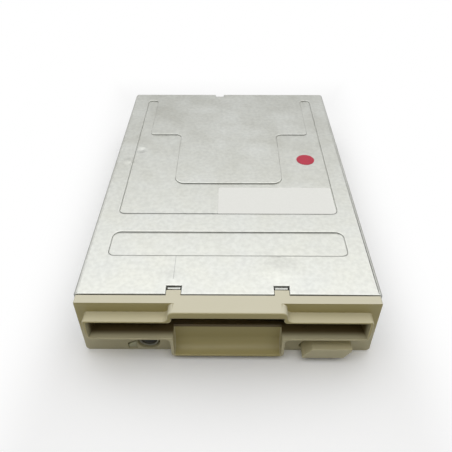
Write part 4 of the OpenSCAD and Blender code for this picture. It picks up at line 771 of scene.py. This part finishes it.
# Inside a rim that keeps the rounded edges whole, the flat faces are cut into small squares round
# each swell or dent, and the corners of these rise or sink.
weight = shape.edges.layers.float["bevel_weight_edge"]
floor_z = high.z - PRESS_DEPTH - LEVEL
flat = [face for face in shape.faces
        if face.normal.z > UPWARD and face.calc_center_median().z > floor_z]
bmesh.ops.inset_region(shape, faces=flat, thickness=2 * COVER_EDGE, use_even_offset=True)
for face in flat:
    for line in face.edges:
        line[weight] = 0.0
cuts = sorted(range(-DENT_CUTS, DENT_CUTS + 1), key=abs, reverse=True)
for x, y, reach, rise in DENTS:
    spot = (x, y, high.z)
    for across, cut in product((Vector((1, 0, 0)), Vector((0, 1, 0))), cuts):
        near = [face for face in shape.faces if face.normal.z > UPWARD
                and all(min(corner.co[k] for corner in face.verts) < middle + reach
                        and max(corner.co[k] for corner in face.verts) > middle - reach
                        for k, middle in enumerate(spot))
                and not any(line[weight] > 0
                            for corner in face.verts for line in corner.link_edges)]
        parts = dict.fromkeys(part for face in near for part in (*face.verts, *face.edges))
        bmesh.ops.bisect_plane(shape, geom=[*near, *parts], dist=CUT_SNAP, plane_no=across,
                               plane_co=Vector(spot) + reach * cut / DENT_CUTS * across)
    for corner in shape.verts:
        away = math.hypot(corner.co.x - x, corner.co.y - y) / reach
        if away < 1 and corner.co.z > floor_z:
            corner.co.z += rise * (1 - away) ** 2 * (1 + 2 * away)
bmesh.ops.triangulate(shape, faces=shape.faces)
bmesh.ops.dissolve_degenerate(shape, dist=WELD, edges=shape.edges)
shape.to_mesh(sheet.data)
shape.free()
points, faces = [], []
for side in (-TONGUE_X, TONGUE_X):
    faces += [tuple(len(points) + i for i in face) for face in BLOCK]
    points += [(side + x, y, z) for x in (-TONGUE_HALF, TONGUE_HALF) for y in TONGUE_Y
               for z in TONGUE_Z]
fitted("cover_tongues", meshed("cover_tongues", points, faces), "top_cover", plated_sheet, "steel")

# Paper label: a bare sheet of coated paper with a glued back, stuck into the pressed panel at its
# right front.
LABEL_EDGE = 0.04 * MM

# Coated paper: white, matt, with a faint mottle of fibres.
label_paper = mottled("label_paper_coated", "#E6E6E0", "#F2F2ED", size=0.6 * MM, detail=4,
                      rough=0.7, relief=(0.15, 0.02 * MM), Roughness=0.7, IOR=1.5)
softened("paper_label", "label_sheet", LABEL_EDGE, label_paper)

# Round sticker: a dot punched from red film with a glued back, stuck into the pressed panel at its
# right.
DOT_EDGE = 0.04 * MM

# Red vinyl film: strong pinkish red, half glossy, a little worn in patches.
red_film = mottled("vinyl_film_red", "#AE1034", "#BE183C", size=2.5 * MM, detail=3,
                   Roughness=0.4, IOR=1.52)
softened("round_sticker", "dot_film", DOT_EDGE, red_film)

# Lamp: a smoked lens in a grey nylon collar on the motor board's tongue, and a small frosted window
# beside it in the bezel.
LENS_EDGE, COLLAR_EDGE, WINDOW_EDGE = 0.2 * MM, 0.12 * MM, 0.1 * MM

# Smoked acrylic: nearly black, glossy, with a trace of brown where light enters.
smoked_lens = mottled("acrylic_smoked", "#191711", "#2A271E", size=1.5 * MM,
                      Roughness=0.12, IOR=1.49)

# Grey nylon: mid grey, half dull, slightly blotched.
grey_nylon = mottled("nylon_moulded_grey", "#A8A593", "#BAB7A6", size=2 * MM, detail=3,
                     Roughness=0.45, IOR=1.53)

# Frosted acrylic: pale greenish beige, dull, a little milky.
frosted_window = mottled("acrylic_frosted_window", "#CFCCA8", "#DDDBBB", size=1.2 * MM, detail=3,
                         Roughness=0.5, IOR=1.49, Transmission_Weight=0.15)
softened("lamp_lens", "lens_smoked", LENS_EDGE, smoked_lens)
softened("lamp_collar", "collar_moulding", COLLAR_EDGE, grey_nylon)
softened("lamp_window", "window_moulding", WINDOW_EDGE, frosted_window)

# Bezel: one moulding in ABS, with a hooded slot, a finger recess and two snaps under the cover.
# Years of light have yellowed its front faces. Painted shade darkens them the higher they lie, and
# also darkens the lower tops, the finger recess and the inside of the slot's mouth.
BEZEL_EDGE, FINE_SHARE = 0.5 * MM, 0.4
PLATE_BACK, HOOD_MIDDLE_Z, HOOD_FRONT = 6.3 * MM, 16 * MM, 0.05 * MM
FLUSH, ACROSS = 0.1, 0.9
MOULD_GRAIN, AGE_CLOUD = 0.4 * MM, 22 * MM
FRONT_AGED_SHADED, LOW_TOP_SHADE = (9 * MM, 15 * MM), (20 * MM, 25 * MM)
SCOOP_HALF, SCOOP_FADE = 18 * MM, 2 * MM
MOUTH_FRONT, MOUTH_BACK = -75.2 * MM, -72.6 * MM
MOUTH_FLOOR, MOUTH_ROOF, MOUTH_HALF = 11.9 * MM, 20.2 * MM, 46.35 * MM

# Moulded ABS, aged: a warm beige plastic, half dull, with a spark-eroded grain that is drawn
# coarser than the real 0.1 mm so that it shows. Its darker, yellower places are partly ageing and
# partly painted shade.
aged_shaded_abs, tree, shader = material("abs_moulded_aged_shaded", Roughness=0.45, IOR=1.53)
place = add(tree, "TexCoord").outputs["Object"]
spot = add(tree, "SeparateXYZ", {"Vector": place})
normal = add(tree, "NewGeometry").outputs["Normal"]
facing = add(tree, "SeparateXYZ", {"Vector": normal}).outputs["Y"]
# Front faces turn yellower and darker the higher they lie: partly ageing, partly painted shade.
forward = add(tree, "MapRange", {"Value": facing, "From Min": -1.0, "From Max": 0.0,
                                 "To Min": 1.0, "To Max": 0.0})
raised = add(tree, "MapRange", {"Value": spot.outputs["Z"], "From Min": FRONT_AGED_SHADED[0],
                                "From Max": FRONT_AGED_SHADED[1], "To Min": 0.4})
front = add(tree, "Math", {0: forward.outputs["Result"], 1: raised.outputs["Result"]},
            operation="MULTIPLY")
# Painted shade and bounce: tops that lie lower, beside the upper plate, darken towards the aged tone.
lower = add(tree, "MapRange", {"Value": spot.outputs["Z"], "From Min": LOW_TOP_SHADE[0],
                               "From Max": LOW_TOP_SHADE[1], "To Min": 0.5, "To Max": 0.0})
# Painted shade: the finger scoop under the hood's overhang darkens towards the aged tone.
scoop = add(tree, "MapRange", {"Value": spot.outputs["Z"], "From Min": MOUTH_FLOOR,
                               "From Max": MOUTH_FLOOR + SCOOP_FADE, "To Min": 1.0, "To Max": 0.0})
scoop_shade = within(tree, spot, scoop.outputs["Result"], {"X": (-SCOOP_HALF, SCOOP_HALF)})
yellow_and_shade = add(tree, "Math", {0: front.outputs["Value"], 1: lower.outputs["Result"]},
             operation="MAXIMUM")
aged_and_shaded = add(tree, "Math", {0: yellow_and_shade.outputs["Value"], 1: scoop_shade}, operation="MAXIMUM")
cloud = add(tree, "TexNoise", {"Vector": place, "Scale": 1 / AGE_CLOUD, "Detail": 4})
pale = add(tree, "MixRGB", {"Fac": cloud.outputs["Fac"], "Color1": linear("#CDC7AC"),
                            "Color2": linear("#D4CFB8")})
tone = add(tree, "MixRGB", {"Fac": aged_and_shaded.outputs["Value"], "Color1": pale.outputs["Color"],
                            "Color2": linear("#AEA26E")})
# Painted shade: the inside of the slot's mouth darkens to a dark brown the deeper it lies.
depth = add(tree, "MapRange", {"Value": spot.outputs["Y"], "From Min": MOUTH_FRONT,
                               "From Max": MOUTH_BACK}, interpolation_type="SMOOTHSTEP")
mouth_shade = within(tree, spot, depth.outputs["Result"],
               {"X": (-MOUTH_HALF, MOUTH_HALF), "Z": (MOUTH_FLOOR, MOUTH_ROOF)})
mouth_shaded = add(tree, "MixRGB", {"Fac": mouth_shade, "Color1": tone.outputs["Color"],
                            "Color2": linear("#5A4A26")})
grain = add(tree, "TexNoise", {"Vector": place, "Scale": 1 / MOULD_GRAIN, "Detail": 2})
relief = add(tree, "Bump", {"Height": grain.outputs["Fac"], "Strength": 0.15,
                            "Distance": 0.04 * MM})
tree.links.new(mouth_shaded.outputs["Color"], shader.inputs["Base Color"])
tree.links.new(relief.outputs["Normal"], shader.inputs["Normal"])
low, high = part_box("front_bezel")


def bezel_share(line):
    """Full rounding on the hood's outer front edges, fine elsewhere, none behind the plate."""
    near, far = (end.co for end in line.verts)
    middle = (near + far) / 2
    out = sum((face.normal for face in line.link_faces), Vector())
    outward = out.x * middle.x + out.z * (middle.z - HOOD_MIDDLE_Z) > 0
    square = all(not FLUSH <= abs(face.normal.y) <= ACROSS for face in line.link_faces)
    at_hood = max(near.y, far.y) < low.y + HOOD_FRONT
    if middle.y > low.y + PLATE_BACK:
        return 0.0
    return 1.0 if outward and square and at_hood else FINE_SHARE


softened("front_bezel", "bezel_moulding", BEZEL_EDGE, aged_shaded_abs, bezel_share)

# Eject button: a cap moulded in the bezel's ABS, hollow behind its face, and pushed onto the eject
# slide's tail.
BUTTON_EDGE = 0.25 * MM
softened("eject_button", "button_cap", BUTTON_EDGE, aged_shaded_abs)

# Floor: a white table under the drive that keeps the drive's shadow, and that the camera sees run
# out into plain white further off.
FLOOR_SIDE, FLOOR_CLEAR = 2.0, 0.02 * MM
SHADOW_REACH, WHITE_FROM = {"X": 0.055, "Y": 0.10}, {"X": 0.085, "Y": 0.16}
half = FLOOR_SIDE / 2
mesh = meshed("floor", [(-half, -half, 0), (half, -half, 0), (half, half, 0), (-half, half, 0)],
              [(0, 1, 2, 3)])
floor = bpy.data.objects.new("floor", mesh)
scene.collection.objects.link(floor)
floor.location.z = cad_box[0][2] - FLOOR_CLEAR

# White laminate: matt, nearly without a shine.
white_table, tree, shader = material("white_laminate", Roughness=0.6, Specular_IOR_Level=0.1)
seen = add(tree, "LightPath").outputs["Is Camera Ray"]
tone = add(tree, "MixRGB", {"Fac": seen, "Color1": linear("#E0E0DE"), "Color2": linear("#FFFFFF")})
tree.links.new(tone.outputs["Color"], shader.inputs["Base Color"])
away = add(tree, "VectorMath", {0: add(tree, "TexCoord").outputs["Object"]}, operation="ABSOLUTE")
spot = add(tree, "SeparateXYZ", {"Vector": away.outputs["Vector"]})
aside, ahead = (add(tree, "MapRange", {"Value": spot.outputs[axis], "From Min": SHADOW_REACH[axis],
                                       "From Max": WHITE_FROM[axis]},
                    interpolation_type="SMOOTHSTEP") for axis in ("X", "Y"))
far = add(tree, "Math", {0: aside.outputs["Result"], 1: ahead.outputs["Result"]},
          operation="MAXIMUM")
blank = add(tree, "Math", {0: far.outputs["Value"], 1: seen}, operation="MULTIPLY")
white = add(tree, "Emission", {"Color": linear("#FFFFFF")})
table = add(tree, "MixShader", {0: blank.outputs["Value"], 1: shader.outputs["BSDF"],
                                2: white.outputs["Emission"]})
tree.links.new(table.outputs["Shader"], tree.nodes["Material Output"].inputs["Surface"])
mesh.materials.append(white_table)

# Light: one large soft lamp overhead and slightly behind the drive, in a white room. Its light
# falls evenly, and metal mirrors the room at about half of its white.
LAMP_PLACE, LAMP_SIDE, LAMP_WATTS = Vector((0.0, 0.08, 1.0)), 2.1, 20.3
ROOM_LIGHT, ROOM_MIRRORED = 0.05, 0.52
light = bpy.data.lights.new("top_lamp", "AREA")
light.size = LAMP_SIDE
light.energy = LAMP_WATTS
lamp = bpy.data.objects.new("top_lamp", light)
lamp.location = LAMP_PLACE
lamp.rotation_euler = (-LAMP_PLACE).to_track_quat("-Z", "Y").to_euler()
scene.collection.objects.link(lamp)
room = bpy.data.worlds.new("white_room")
scene.world = room
room.use_nodes = True
tree = room.node_tree
ray = add(tree, "LightPath")
mirrored = add(tree, "MapRange", {"Value": ray.outputs["Is Glossy Ray"], "To Min": ROOM_LIGHT,
                                  "To Max": ROOM_MIRRORED})
seen = add(tree, "Math", {0: ray.outputs["Is Camera Ray"], 1: ray.outputs["Is Transmission Ray"]},
           operation="MAXIMUM")
level = add(tree, "Math", {0: mirrored.outputs["Result"], 1: seen.outputs["Value"]},
            operation="MAXIMUM")
tree.links.new(level.outputs["Value"], tree.nodes["Background"].inputs["Strength"])
tree.nodes["Background"].inputs["Color"].default_value = linear("#FFFFFF")

# Camera: in front of the drive and above it, 41 degrees down, as the photograph was taken. Its
# place, its turn and its lens were fitted to the drive's edges there.
EYE = (0.600 * MM, -176.084 * MM, 147.974 * MM)
YAW, PITCH, ROLL = math.radians(-0.570), math.radians(40.729), math.radians(-0.165)
SENSOR_WIDTH, FOCAL_LENGTH, NEAREST = 36, 39.380, 0.01
level = math.cos(PITCH)
forward = Vector((math.sin(YAW) * level, math.cos(YAW) * level, -math.sin(PITCH)))
side = Vector((math.cos(YAW), -math.sin(YAW), 0))
up = side.cross(forward)
right = math.cos(ROLL) * side + math.sin(ROLL) * up
top = -math.sin(ROLL) * side + math.cos(ROLL) * up
view = bpy.data.cameras.new("view")
view.sensor_width = SENSOR_WIDTH
view.lens = FOCAL_LENGTH
view.clip_start = NEAREST
camera = bpy.data.objects.new("view", view)
turn = Matrix((right, top, -forward)).transposed()
camera.matrix_world = Matrix.Translation(EYE) @ turn.to_4x4()
scene.collection.objects.link(camera)
scene.camera = camera
